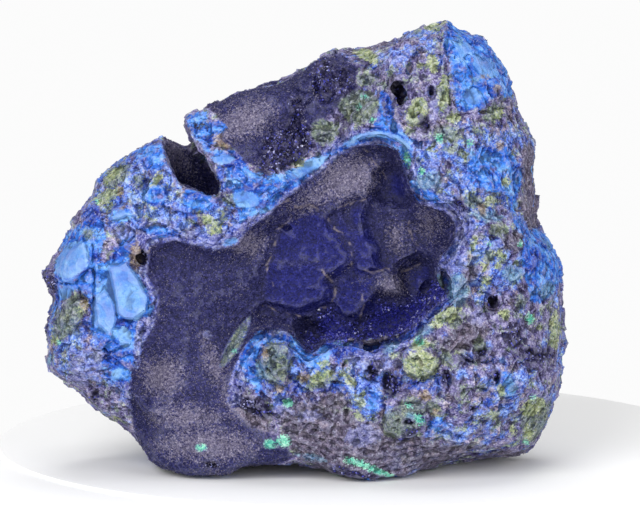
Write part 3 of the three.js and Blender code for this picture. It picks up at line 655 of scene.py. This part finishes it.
def hollowed(points, normals):
    """The smooth lump's points, with the hollow's side and floor in their broken shape."""
    drawing = Drawing(points)
    within = drawing.inside(RIM, RIM_REACH)
    ring = (within > -3) & (within < -1.8) & (normals @ VIEW > 0.8)
    picked = np.flatnonzero(ring)[:: max(1, ring.sum() // 300)]
    places = np.stack([drawing.u[picked], drawing.v[picked]], axis=1)
    near = (within > -1.5) & (drawing.d > 0)
    u, v = drawing.u[near], drawing.v[near]
    rim = weighted(places, drawing.d[picked], u, v, 1.5)
    widths = np.array(RIM_WIDTHS, float)
    width = weighted(widths[:, :2], widths[:, 2], u, v, 2)
    here = Drawing(points[near])
    floor = hollow_floor(here, points[near], rim)
    within_here = within[near] + 0.5 * noise(points[near], 4, 35)
    target = lerp(rim, floor, smoothstep(-0.6, 1, within_here / width))
    share = smoothstep(-1.5, -0.5, within[near])
    points[near] += (share * (target - here.d))[:, None] * TOWARDS
    return points


def broken(points, normals, edges):
    """The shaped lump's points, moved to its broken surface."""
    drawing = Drawing(points)
    front = smoothstep(-0.1, 0.3, normals @ VIEW)

    # Plates, cracks and pits.
    lift = np.zeros(len(points))
    for height, outline in RAISED:
        lift += height * smoothstep(-0.4, 0.5, drawing.inside(outline) + 0.4 * noise(points, 2, 41))
    wobble = 0.35 * noise(points, 1.8, 42) + 0.2 * noise(points, 0.9, 43)
    for width, depth, line in CRACKS:
        lift -= depth * (1 - smoothstep(0, 1.3 * width, drawing.from_line(line) + wobble))
    for u, v, across, up, depth in PITS:
        within_pit = drawing.in_spot(u, v, across, up) / min(across, up)
        lift -= depth * smoothstep(-0.2, 0.7, within_pit + wobble)
    points = points + (lift * front)[:, None] * TOWARDS

    # How rough each mineral breaks.
    velvet = smoothstep(-1.0, 0.8, drawing.mineral("velvet")) * front
    pale = smoothstep(-0.8, 0.4, drawing.mineral("pale")) * front
    azure = smoothstep(-1, 1, drawing.mineral("azure")) * front
    dark = smoothstep(-1.5, 1, drawing.mineral("dark")) * front
    rough = (1 - 0.96 * velvet * (1 - dark)) * (1 - 0.8 * pale) * (1 - 0.3 * azure)

    out = evened(normals, edges, 12)
    out /= np.linalg.norm(out, axis=1, keepdims=True)
    # Facets of three sizes, then grain, open pits and the knobs of the dark druse.
    height = 2.5 * facets(points, 9, 101, 0.3) + 2.1 * facets(points, 4.2, 201, 0.5)
    height += 0.85 * facets(points, 2, 301, 0.5) + 0.4 * layered(points, 2.2, 401)
    vugs = smoothstep(0.45, 0.8, noise(points, 2.6, 51)) * smoothstep(0.1, 0.5, noise(points, 12, 52))
    height -= 1.2 * vugs
    height += 1.5 * dark * (knobs(points, 2.4, 451) - 0.5)

    # The laminated crust along the bottom.
    crust = (1 - smoothstep(7, 12, drawing.v + 3 * noise(points, 9, 61))) * front
    beds = points[:, 2] + 2.6 * noise(points, 11, 62) + 0.8 * noise(points, 3, 63) + 0.08 * points[:, 0]
    height = height * (1 - 0.5 * crust) + crust * 0.12 * np.sin(beds * 2 * math.pi / 2.3)

    # The edges that turn away are worn smoother, and the velvet only undulates.
    facing = smoothstep(0.1, 0.5, np.abs(out @ VIEW))
    undulation = 0.16 * noise(points, 3, 71) + 0.16 * noise(points, 1.1, 72)
    height = height * rough * lerp(0.75, 1, facing) + velvet * undulation
    points = points + (height - SUNK)[:, None] * out

    # The underside stays as flat as the solid's, but for a little wear.
    worn = 0.25 * (1 + noise(points, 4, 81)) * (out[:, 2] < -0.6)
    points[:, 2] = np.maximum(points[:, 2], 0) + worn * (points[:, 2] < 1)
    return points


def make_lump():
    lump = add("azurite_lump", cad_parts[NODE].data.copy())
    lump.data.materials.clear()
    mesh = applied(lump, "REMESH", mode="VOXEL", voxel_size=COARSE * MM)
    set_points(mesh, evened(points_of(mesh), edges_of(mesh), 10))
    set_points(mesh, hollowed(points_of(mesh), normals_of(mesh)))
    mesh = applied(lump, "REMESH", mode="VOXEL", voxel_size=FINE * MM)
    edges = edges_of(mesh)
    set_points(mesh, evened(points_of(mesh), edges, 5))
    set_points(mesh, broken(points_of(mesh), normals_of(mesh), edges))
    triangles = sum(len(face.vertices) - 2 for face in mesh.polygons)
    applied(lump, "DECIMATE", ratio=TRIANGLES / triangles)
    return lump


def store(mesh, name, values):
    attribute = mesh.attributes.new(name, "FLOAT", "POINT")
    attribute.data.foreach_set("value", values.astype(np.float32))


def store_minerals(mesh):
    """What the materials read at each vertex: how far inside each mineral it lies, and how it stands out."""
    points, normals, edges = points_of(mesh), normals_of(mesh), edges_of(mesh)
    smooth = evened(normals, edges, 12)
    smooth /= np.linalg.norm(smooth, axis=1, keepdims=True)
    front = smoothstep(-0.15, 0.2, smooth @ VIEW)
    drawing = Drawing(points)

    def keep(name, on_front, elsewhere):
        """Stores one field, drawn on the front and random elsewhere."""
        store(mesh, name, lerp(np.clip(elsewhere, -MOST, MOST), on_front, front))

    for name, (sharp, size, seed, level) in ELSEWHERE.items():
        keep(name, drawing.mineral(name), sharp * (layered(points, size, seed) - level))
    dust_and_light = np.max([drawing.in_spot(*spot) for spot in DUST_AND_LIGHT], axis=0)
    keep("dust_and_light", np.clip(dust_and_light, -MOST, MOST), 0.5)
    for field, names, elsewhere in (("navy", NAVY, 0), ("trough", TROUGHS, -MOST)):
        within = np.max([drawing.inside(SCALLOPS[name][-1]) for name in names], axis=0)
        keep(field, np.clip(within, -MOST, MOST), elsewhere)
    crest = np.min([drawing.from_line(line) for line in CRESTS], axis=0)
    keep("crest", np.clip(crest, 0, MOST), MOST)
    beyond_rim = np.clip(-drawing.inside(RIM, RIM_REACH), 0, RIM_REACH)
    store(mesh, "rim", lerp(RIM_REACH, beyond_rim, front))
    for name, times, most in (("edge", 3, 0.1), ("relief", 40, 0.7)):
        bulge = ((points - evened(points, edges, times)) * normals).sum(1)
        store(mesh, name, np.clip(bulge / most, -1, 1))


# ---- Materials ----

def srgb(red, green, blue):
    """A colour given as 0 to 255 a channel, as the shader takes it."""
    def linear(c):
        c /= 255
        return c / 12.92 if c <= 0.04045 else ((c + 0.055) / 1.055) ** 2.4
    return (linear(red), linear(green), linear(blue), 1)


class Shades:
    """Builds a material's nodes. Sockets and plain numbers can both be given as inputs."""

    def __init__(self, name):
        self.material = bpy.data.materials.new(name)
        self.material.use_nodes = True
        self.tree = self.material.node_tree
        self.shader = self.tree.nodes["Principled BSDF"]
        self.place = self.tree.nodes.new("ShaderNodeTexCoord").outputs["Object"]

    def put(self, value, socket):
        if isinstance(value, bpy.types.NodeSocket):
            self.tree.links.new(value, socket)
        else:
            socket.default_value = value

    def noise(self, size, seed, detail=2.0, stretch=None):
        """Noise from 0 to 1, with lumps about size millimetres across."""
        node = self.tree.nodes.new("ShaderNodeTexNoise")
        node.noise_dimensions = "4D"
        node.inputs["W"].default_value = seed * 7.31
        node.inputs["Scale"].default_value = 1 / (size * MM)
        node.inputs["Detail"].default_value = detail
        node.inputs["Roughness"].default_value = 0.6
        place = self.place
        if stretch:
            turned = self.tree.nodes.new("ShaderNodeMapping")
            self.put(place, turned.inputs["Vector"])
            turned.inputs["Rotation"].default_value = [math.radians(a) for a in stretch[0]]
            turned.inputs["Scale"].default_value = stretch[1]
            place = turned.outputs[0]
        self.put(place, node.inputs["Vector"])
        return node.outputs["Fac"]

    def cells(self, size, seed, output="Color"):
        """Crystal grains about size millimetres across: a random value for each, or the distance to its
        middle."""
        node = self.tree.nodes.new("ShaderNodeTexVoronoi")
        node.voronoi_dimensions = "4D"
        node.inputs["W"].default_value = seed * 3.17
        node.inputs["Scale"].default_value = 1 / (size * MM)
        self.put(self.place, node.inputs["Vector"])
        if output == "Distance":
            return node.outputs["Distance"]
        apart = self.tree.nodes.new("ShaderNodeSeparateColor")
        self.put(node.outputs["Color"], apart.inputs[0])
        return apart.outputs[0]

    def field(self, name):
        node = self.tree.nodes.new("ShaderNodeAttribute")
        node.attribute_name = name
        return node.outputs["Fac"]

    def math(self, operation, a, b=0.0, c=0.0):
        node = self.tree.nodes.new("ShaderNodeMath")
        node.operation = operation
        for value, socket in zip((a, b, c), node.inputs):
            self.put(value, socket)
        return node.outputs[0]

    def scaled(self, value, by, more=0.0):
        """value times by, plus more."""
        return self.math("MULTIPLY_ADD", value, by, more)

    def between(self, value, low, high, to_low=0.0, to_high=1.0):
        """value's place between low and high, eased, as a number from to_low to to_high."""
        node = self.tree.nodes.new("ShaderNodeMapRange")
        node.interpolation_type = "SMOOTHSTEP"
        self.put(value, node.inputs["Value"])
        numbers = {"From Min": low, "From Max": high, "To Min": to_low, "To Max": to_high}
        for name, number in numbers.items():
            node.inputs[name].default_value = number
        return node.outputs["Result"]

    def mix(self, share, a, b, how="MIX"):
        node = self.tree.nodes.new("ShaderNodeMix")
        node.data_type = "RGBA"
        node.blend_type = how
        self.put(share, node.inputs[0])
        self.put(a, node.inputs[6])
        self.put(b, node.inputs[7])
        return node.outputs[2]

    def ramp(self, value, *stops):
        """A colour for each value: stops are (value, red, green, blue), with colours from 0 to 255."""
        node = self.tree.nodes.new("ShaderNodeValToRGB")
        elements = node.color_ramp.elements
        while len(elements) < len(stops):
            elements.new(0.5)
        for element, (place, *colour) in zip(elements, stops):
            element.position = place
            element.color = srgb(*colour)
        self.put(value, node.inputs[0])
        return node.outputs[0]

    def mask(self, name, rag, sharp, seed, size=2.2, grains=None, mixed=0.0):
        """1 where the mineral is. Its border is ragged by rag millimetres and blends over sharp millimetres,
        and the grains on either side mix over mixed millimetres."""
        ragged = self.scaled(self.noise(size, seed, 4), 4 * rag, -2 * rag)
        ragged = self.scaled(self.field(name), 1, ragged)
        if grains:
            ragged = self.scaled(ragged, 1, self.scaled(grains, mixed, -mixed / 2))
        return self.between(ragged, -sharp, sharp)

    def bump(self, height, depth, strength=1.0, under=None):
        """Bumps depth millimetres high."""
        node = self.tree.nodes.new("ShaderNodeBump")
        node.inputs["Strength"].default_value = strength
        node.inputs["Distance"].default_value = depth * MM
        self.put(height, node.inputs["Height"])
        if under:
            self.put(under, node.inputs["Normal"])
        return node.outputs[0]


class Rock(Shades):
    """The rock's material, with the grains that all its minerals share."""

    def __init__(self, name):
        super().__init__(name)
        self.grain = self.cells(0.34, 1)
        self.speck = self.cells(0.62, 2)
        self.fine = self.noise(0.5, 3, 3)
        self.tone = self.scaled(self.grain, 0.26, self.scaled(self.noise(2.1, 4, 8), 1.05))

    def layer(self, colour, name, over, grains, rag, sharp, seed, size, mixed, strength):
        """The colour with a mineral's own colour laid over it where that mineral is."""
        mask = self.mask(name, rag, sharp, seed, size, grains, mixed)
        return self.mix(self.scaled(mask, strength), colour, over)

    def layers(self, colour, minerals, grains):
        """The colour with minerals laid over it one after another, each toned by the grains."""
        for name, (*how, stops) in minerals.items():
            colour = self.layer(colour, name, self.ramp(self.tone, *stops), grains, *how)
        return colour


# How each mineral lies over the rock: how ragged and how sharp its border is, its seed, how large the rags
# are, how
# far its grains mix with the rock's, all in millimetres, its strength, and its colours from dark to light.
ROCK_MINERALS = {
    "brown": (1.2, 0.8, 41, 4, 0.9, 0.9, (
        (0.42, 34, 30, 44), (0.58, 72, 65, 84), (0.74, 108, 99, 118), (0.95, 154, 143, 154))),
    "lavender": (1.0, 0.6, 42, 2, 1.0, 0.55, (
        (0.45, 84, 88, 150), (0.6, 110, 116, 172), (0.8, 142, 146, 196), (1.0, 186, 188, 214))),
}
GREEN_MINERALS = {
    "olive": (0.8, 0.45, 46, 1.8, 0.9, 0.85, (
        (0.45, 40, 48, 58), (0.58, 76, 90, 88), (0.74, 108, 122, 102), (0.95, 154, 162, 128))),
    "teal": (0.7, 0.5, 47, 1.8, 0.6, 0.8, ((0.45, 46, 78, 120), (0.65, 84, 122, 156),
    (0.95, 138, 176, 192))),
    "green": (0.7, 0.35, 48, 1.5, 0.7, 0.88, (
        (0.45, 74, 90, 84), (0.58, 120, 136, 94), (0.74, 158, 168, 120), (0.95, 200, 204, 168))),
    "mint": (0.35, 0.2, 49, 0.9, 0.9, 1, ((0.5, 56, 138, 130), (0.68, 100, 186, 158),
    (0.9, 178, 226, 204))),
    "ochre": (0.5, 0.4, 50, 1.2, 0.6, 0.8, ((0.5, 86, 72, 62), (0.68, 130, 110, 84), (0.9, 180, 162, 128))),
}
# Dark: the dark druse's crystals, with painted shade in the pits, holes, bottom edge and between its knobs, and
# painted glints at the light end.
DARK_CRYSTALS_AND_SHADE = {
    "dark": (0.8, 0.5, 53, 1.6, 0.8, 0.95, (
        (0.45, 8, 7, 22), (0.62, 26, 23, 52), (0.8, 62, 58, 100), (0.95, 160, 158, 200))),
}


# The rock's own grains, each from dark to light: purple, blue, green and pink.
MATRIX_COLOURS = [
    [(38, 33, 66), (80, 73, 118), (108, 102, 150), (166, 160, 194)],
    [(30, 44, 124), (58, 86, 180), (94, 130, 212), (152, 180, 234)],
    [(44, 54, 60), (90, 104, 100), (132, 148, 130), (186, 196, 168)],
    [(42, 36, 48), (88, 78, 98), (130, 118, 138), (188, 176, 186)],
]


def matrix_colours(s):
    """The rock between the minerals: purple, blue, grey-green and brown-pink grains, mixed at every size."""
    value = s.scaled(s.grain, 0.26, s.scaled(s.noise(2.6, 31, 8), 1.05))
    purple, blue, green, pink = (
        s.ramp(value, *((place, *colour) for place, colour in zip((0.46, 0.58, 0.7, 0.86), colours)))
        for colours in MATRIX_COLOURS
    )
    bluer = s.scaled(s.speck, 0.05, s.scaled(s.field("bluish"), 0.022, s.noise(4.2, 32, 8)))
    colour = s.mix(s.between(bluer, 0.48, 0.6), purple, blue)
    greener = s.scaled(s.speck, -0.1, s.noise(2.8, 33, 5))
    colour = s.mix(s.between(greener, 0.46, 0.6), colour, green)
    pinker = s.scaled(s.grain, 0.08, s.noise(3.1, 34, 5))
    return s.mix(s.between(pinker, 0.57, 0.7), colour, pink)


def rim_crusts(s, colour):
    """Thin crusts that follow the hollow's rim."""
    crust_thickness = 1.3
    beyond = s.scaled(s.noise(3, 64, 6), 3.4, s.field("rim"))
    band = s.math("SINE", s.scaled(beyond, 2 * math.pi / crust_thickness))
    crusts = s.ramp(s.scaled(band, 0.3, s.scaled(s.grain, 0.4)), (-0.1, 40, 52, 128), (0.2, 66, 84, 176),
                    (0.45, 126, 132, 190), (0.7, 160, 164, 208))
    return s.mix(s.between(beyond, 4.4, 5.6, 0.6, 0), colour, crusts)


def massive_azurite(s, colour):
    """Bright azurite, streaked and mottled, with deep blue and pale blue parts."""
    streak = s.scaled(s.grain, 0.08, s.noise(2.6, 9, 6, ((0, 40, 0), (0.3, 1, 1))))
    azure = s.ramp(streak, (0.36, 16, 36, 126), (0.46, 32, 76, 174), (0.56, 54, 116, 206),
                   (0.7, 120, 170, 226))
    mottle = s.ramp(s.tone, (0.45, 58, 56, 122), (0.9, 138, 134, 190))
    azure = s.mix(s.between(s.noise(2.3, 11, 5), 0.54, 0.66), azure, mottle)
    colour = s.layer(colour, "azure", azure, s.grain, 0.9, 0.3, 43, 2.4, 0.5, 1)
    deep = s.ramp(s.tone, (0.45, 14, 18, 80), (0.62, 24, 46, 148), (0.85, 42, 98, 200))
    colour = s.layer(colour, "deep", deep, s.grain, 0.8, 0.3, 44, 1.6, 0.6, 0.85)
    value = s.scaled(s.fine, 0.2, s.noise(4, 13, 4))
    pale = s.ramp(value, (0.45, 80, 118, 192), (0.6, 94, 140, 204), (0.72, 124, 168, 214))
    return s.layer(colour, "pale", pale, s.grain, 0.4, 0.2, 45, 1.4, 0.3, 0.92)


def glints_and_pore_shade(s, colour):
    """Painted glints as light flecks, and painted shade in pores as dark specks, fewer in the massive azurite.
    """
    massive = s.scaled(s.field("azure"), 0.4, s.field("pale"))
    plain = s.between(massive, -0.5, 1, 1, 0.2)
    # Light flecks: painted glints.
    glint = s.scaled(plain, s.between(s.cells(0.45, 61), 0.84, 0.94, 0, 0.3))
    colour = s.mix(glint, colour, srgb(186, 190, 214))
    # Dark specks: painted shade in tiny pores.
    pore_shade = s.between(s.scaled(s.noise(2.5, 63, 3), 0.5, s.cells(0.7, 62)), 0.48, 0.4, 0, 0.42)
    return s.mix(s.scaled(plain, pore_shade), colour, srgb(22, 20, 48))


def velvet_azurite(s, colour):
    """Indigo velvet, bluest in clean scallops, with grey-brown dust and painted light, and painted highlight on
    crests.
    """
    nap = s.scaled(s.grain, 0.5, s.scaled(s.fine, 0.7))
    velvet = s.ramp(nap, (0.35, 18, 18, 48), (0.6, 36, 36, 78), (0.8, 52, 52, 100), (1.0, 86, 84, 126))
    clean = s.ramp(nap, (0.35, 12, 13, 62), (0.6, 26, 28, 90), (0.8, 38, 41, 112), (1.0, 66, 68, 140))
    navy = s.scaled(s.noise(5, 54, 3), 2, s.field("navy"))
    velvet = s.mix(s.between(navy, 0.9, 2.6), velvet, clean)
    # Grey-brown: dust, and painted light on the faces that the ovals mark as lit.
    dust_and_light_colour = s.ramp(nap, (0.35, 56, 51, 78), (0.6, 92, 87, 112), (0.8, 122, 116, 136), (1.0, 160, 154, 164))
    dust_and_light = s.scaled(s.field("dust_and_light"), 0.11, s.scaled(s.noise(2, 17, 6), 0.3))
    dust_and_light = s.scaled(s.cells(0.4, 18), 0.45, s.scaled(s.field("navy"), -0.06, dust_and_light))
    velvet = s.mix(s.between(dust_and_light, 0.54, 0.8), velvet, dust_and_light_colour)
    # A painted highlight along the crests.
    crest = s.scaled(s.noise(2.5, 51, 5), 0.9, s.field("crest"))
    velvet = s.mix(s.between(crest, 0.5, 0.95, 0.55, 0), velvet, srgb(150, 138, 138))
    velvet_here = s.mask("velvet", 0.5, 0.25, 52, 1.6, s.grain, 0.8)
    overgrown = s.math("MAXIMUM", s.field("olive"), s.field("mint"))
    return s.mix(s.scaled(velvet_here, s.between(overgrown, -0.6, 0.4, 1, 0)), colour, velvet)


def worn_edge_highlight_and_crease_shade(s, colour, off_velvet):
    """Lighter edges, worn and with a painted highlight, and painted shade in the creases; both weak on velvet.
    """
    # Lighter convex edges: wear, and a painted highlight.
    worn = s.scaled(off_velvet, s.between(s.field("edge"), 0.3, 1.0, 0, 0.15))
    colour = s.mix(worn, colour, srgb(180, 180, 205))
    shade = s.between(s.scaled(s.field("relief"), 0.5, s.field("edge")), -1.2, 0.0, 0.42, 1)
    return s.mix(off_velvet, colour, s.mix(shade, srgb(0, 0, 0), srgb(255, 255, 255)), "MULTIPLY")


def mineral_material():
    s = Rock("azurite_mineral")
    s.shader.inputs["Specular IOR Level"].default_value = 0.15
    off_velvet = s.between(s.field("velvet"), -0.5, 0.8, 1, 0.45)
    colour = s.layers(matrix_colours(s), ROCK_MINERALS, s.speck)
    colour = massive_azurite(s, rim_crusts(s, colour))
    colour = glints_and_pore_shade(s, s.layers(colour, GREEN_MINERALS, s.grain))
    colour = s.layers(velvet_azurite(s, colour), DARK_CRYSTALS_AND_SHADE, s.grain)
    s.put(worn_edge_highlight_and_crease_shade(s, colour, off_velvet), s.shader.inputs["Base Color"])
    s.put(s.between(s.grain, 0, 1, 0.42, 0.8), s.shader.inputs["Roughness"])
    bump = s.bump(s.scaled(off_velvet, s.cells(0.6, 19, "Distance")), 0.25, 0.6)
    bump = s.bump(s.scaled(off_velvet, s.noise(1.2, 20, 6)), 0.5, 0.6, bump)
    s.put(bump, s.shader.inputs["Normal"])
    return s.material


def crystal_material(name, dark, light, clean, dust_and_light_colour, most_dust_and_light, rough, gloss):
    """Small crystals, each with a tone of its own: bluer in the navy scallops, and paler in the ovals of dust
    and painted light.
    """
    s = Shades(name)
    s.shader.inputs["Specular IOR Level"].default_value = gloss
    tone = s.field("tone")
    colour = s.mix(s.between(tone, 0, 0.8), srgb(*dark), srgb(*light))
    colour = s.mix(s.between(s.field("navy"), 0, 2.5, 0, 0.7), colour, srgb(*clean))
    dust_and_light_share = s.scaled(s.field("dust_and_light"), 0.1, s.field("other_tone"))
    dust_and_light_share = s.scaled(s.between(s.noise(3, 41, 4), 0.38, 0.62, -1, 1), 0.22, dust_and_light_share)
    dust_and_light_share = s.scaled(s.field("navy"), -0.1, dust_and_light_share)
    colour = s.mix(s.between(dust_and_light_share, 0.5, 1.1, 0, most_dust_and_light), colour, srgb(*dust_and_light_colour))
    colour = s.mix(s.between(s.noise(0.4, 40), 0.4, 0.7, 0, 0.3), colour, srgb(*light))
    s.put(colour, s.shader.inputs["Base Color"])
    s.put(s.between(tone, 0, 1, rough, rough + 0.25), s.shader.inputs["Roughness"])
    return s.material


# ---- Druse: the little crystals ----

def triangles_of(mesh):
    mesh.calc_loop_triangles()
    found = np.empty(len(mesh.loop_triangles) * 3, np.int32)
    mesh.loop_triangles.foreach_get("vertices", found)
    return found.reshape(-1, 3)


def read(mesh, name):
    found = np.empty(len(mesh.vertices), np.float32)
    mesh.attributes[name].data.foreach_get("value", found)
    return found.astype(float)


def make_druse(name, lump, where, count, width, height, material, seed):
    """Three-sided crystals that stand on the lump, more of them where `where` is higher."""
    rng = np.random.default_rng(seed)
    mesh = lump.data
    points, normals, corners = points_of(mesh), normals_of(mesh), triangles_of(mesh)
    a, b, c = (points[corners[:, k]] for k in range(3))
    area = 0.5 * np.linalg.norm(np.cross(b - a, c - a), axis=1)
    weight = area * where[corners].mean(1)
    chosen = rng.choice(len(corners), count, p=weight / weight.sum())
    r, t = np.sqrt(rng.random((count, 1))), rng.random((count, 1))
    foot = (1 - r) * a[chosen] + r * (1 - t) * b[chosen] + r * t * c[chosen]
    up = normals[corners[chosen]].mean(1) + 0.55 * rng.normal(size=(count, 3))
    up /= np.linalg.norm(up, axis=1, keepdims=True)
    side = np.cross(up, rng.normal(size=(count, 3)))
    side /= np.linalg.norm(side, axis=1, keepdims=True)
    other = np.cross(up, side)
    wide = rng.uniform(*width, (count, 1))
    tall = rng.uniform(*height, (count, 1))
    base = foot - 0.35 * wide * up
    corner = []
    for k in range(3):
        angle = 2 * math.pi * k / 3
        corner.append(base + wide * (math.cos(angle) * side + math.sin(angle) * other))
    corner.append(base + tall * up)
    places = np.stack(corner, axis=1).reshape(-1, 3)
    faces = np.array([(0, 2, 1), (0, 1, 3), (1, 2, 3), (2, 0, 3)])
    faces = (faces[None] + 4 * np.arange(count)[:, None, None]).reshape(-1, 3)
    made = bpy.data.meshes.new(name)
    made.from_pydata(places * MM, [], faces.tolist())
    store(made, "tone", np.repeat(rng.random(count), 4))
    store(made, "other_tone", np.repeat(rng.random(count), 4))
    for field in ("dust_and_light", "navy"):
        store(made, field, np.repeat(read(mesh, field)[corners[chosen]].mean(1), 4))
    made.materials.append(material)
    return add(name, made)


def make_velvet_druse(lump):
    """The velvet's fine crystals: fewer in the navy scallops, none on crests or under other minerals."""
    fields = {name: read(lump.data, name) for name in ("velvet", "navy", "crest", "olive", "mint")}
    overgrown = smoothstep(-0.6, 0.4, np.maximum(fields["olive"], fields["mint"]))
    share = smoothstep(-0.3, 0.6, fields["velvet"]) * (1 - overgrown)
    share *= smoothstep(0.1, 0.6, fields["crest"])
    share *= (1 - 0.5 * smoothstep(0, 2, fields["navy"])) * (points_of(lump.data)[:, 2] > 1)
    # The grey-brown that its crystals turn to is dust, and painted light on faces turned to the light.
    material = crystal_material(
        "velvet_crystals", dark=(13, 14, 48), light=(48, 49, 98), clean=(25, 27, 90),
        dust_and_light_colour=(124, 118, 134), most_dust_and_light=0.85, rough=0.3, gloss=0.2,
    )
    return make_druse("velvet_druse", lump, share, 36_000, (0.12, 0.22), (0.2, 0.45), material, seed=7)


def make_trough_druse(lump):
    """Coarser, glassier crystals in the trough, and a few in the dark druse."""
    trough = smoothstep(-0.6, 0.4, read(lump.data, "trough"))
    dark = smoothstep(-0.2, 0.6, read(lump.data, "dark"))
    share = (points_of(lump.data)[:, 2] > 2) * np.maximum(trough, 0.3 * dark)
    # The pale lavender that its crystals turn to is painted glints.
    material = crystal_material(
        "trough_crystals", dark=(14, 14, 60), light=(70, 72, 170), clean=(30, 30, 130),
        dust_and_light_colour=(176, 178, 220), most_dust_and_light=0.8, rough=0.12, gloss=0.6,
    )
    return make_druse("trough_druse", lump, share, 2_800, (0.22, 0.45), (0.3, 0.8), material, seed=8)


# ---- Studio ----

AIM = Vector((4, 0, 52.65)) * MM
CAMERA_AWAY = 2.5
FRAME_WIDTH = 160 * MM
# Round soft lights: where each is, how wide it is, both in metres, and its watts.
LIGHTS = {
    "key": ((-1.0, -1.7, 1.3), 1.5, 39),
    "fill": ((1.4, -1.5, 0.8), 1.5, 21),
    "front": ((-0.3, -2.3, 0.45), 1.4, 16),
    "top": ((0.1, 0.3, 1.8), 1.4, 14),
}
SURROUNDINGS, BACKDROP = 0.36, 0.97  # how bright the white world is as light, and as what is seen behind
STAND_MIDDLE, STAND_RADIUS = (0.0135, 0.030), 0.091
TABLE_WIDTH, TABLE_FRONT, TABLE_BACK = 1.2, -1.2, 0.030


def make_camera():
    data = bpy.data.cameras.new("camera")
    data.sensor_width = 36
    data.lens = data.sensor_width * CAMERA_AWAY / FRAME_WIDTH
    data.clip_end = 20
    camera = add("camera", data)
    camera.location = AIM + CAMERA_AWAY * Vector(VIEW)
    camera.rotation_mode = "QUATERNION"
    camera.rotation_quaternion = (-Vector(VIEW)).to_track_quat("-Z", "Y")
    bpy.context.scene.camera = camera


def make_light(name, place, size, watts):
    data = bpy.data.lights.new(name, "AREA")
    data.shape = "DISK"
    data.size = size
    data.energy = watts
    light = add(name, data)
    light.location = place
    light.rotation_mode = "QUATERNION"
    light.rotation_quaternion = (AIM - light.location).to_track_quat("-Z", "Y")


def make_world():
    world = bpy.data.worlds.new("white")
    world.use_nodes = True
    bpy.context.scene.world = world
    tree = world.node_tree
    background = tree.nodes["Background"]
    background.inputs["Color"].default_value = (1, 1, 1, 1)
    seen = tree.nodes.new("ShaderNodeLightPath").outputs["Is Camera Ray"]
    strength = tree.nodes.new("ShaderNodeMapRange")
    tree.links.new(seen, strength.inputs["Value"])
    strength.inputs["To Min"].default_value = SURROUNDINGS
    strength.inputs["To Max"].default_value = BACKDROP
    tree.links.new(strength.outputs["Result"], background.inputs["Strength"])


def flat_slab(name, outline, top, thick):
    """A flat slab with the given outline, in metres."""
    count = len(outline)
    places = [(x, y, top) for x, y in outline] + [(x, y, top - thick) for x, y in outline]
    faces = [list(range(count)), list(range(2 * count - 1, count - 1, -1))]
    faces += [[k, k + count, (k + 1) % count + count, (k + 1) % count] for k in range(count)]
    mesh = bpy.data.meshes.new(name)
    mesh.from_pydata(places, [], faces)
    return add(name, mesh)


def make_floor():
    """A plain pale round stand, on a plain pale table that ends behind it."""
    turns = [2 * math.pi * k / 128 for k in range(128)]
    middle_x, middle_y = STAND_MIDDLE
    ring = [(middle_x + STAND_RADIUS * math.cos(t), middle_y + STAND_RADIUS * math.sin(t)) for t in turns]
    stand = flat_slab("stand", ring, -0.00005, 0.001)
    left, right = -TABLE_WIDTH / 2, TABLE_WIDTH / 2
    corners = [(left, TABLE_FRONT), (right, TABLE_FRONT), (right, TABLE_BACK), (left, TABLE_BACK)]
    table = flat_slab("table", corners, -0.0008, 0.0004)
    s = Shades("pale_floor")
    s.shader.inputs["Base Color"].default_value = (0.9, 0.9, 0.9, 1)
    s.shader.inputs["Roughness"].default_value = 0.7
    for piece in (stand, table):
        piece.data.materials.append(s.material)


make_camera()
lump = make_lump()
store_minerals(lump.data)
lump.data.materials.append(mineral_material())
velvet_druse = make_velvet_druse(lump)
trough_druse = make_trough_druse(lump)
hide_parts(NODE)
for piece in (lump, velvet_druse, trough_druse):
    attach(piece, "root")

make_floor()
make_world()
for name, (place, size, watts) in LIGHTS.items():
    make_light(name, place, size, watts)
bpy.context.scene.view_settings.view_transform = "Standard"
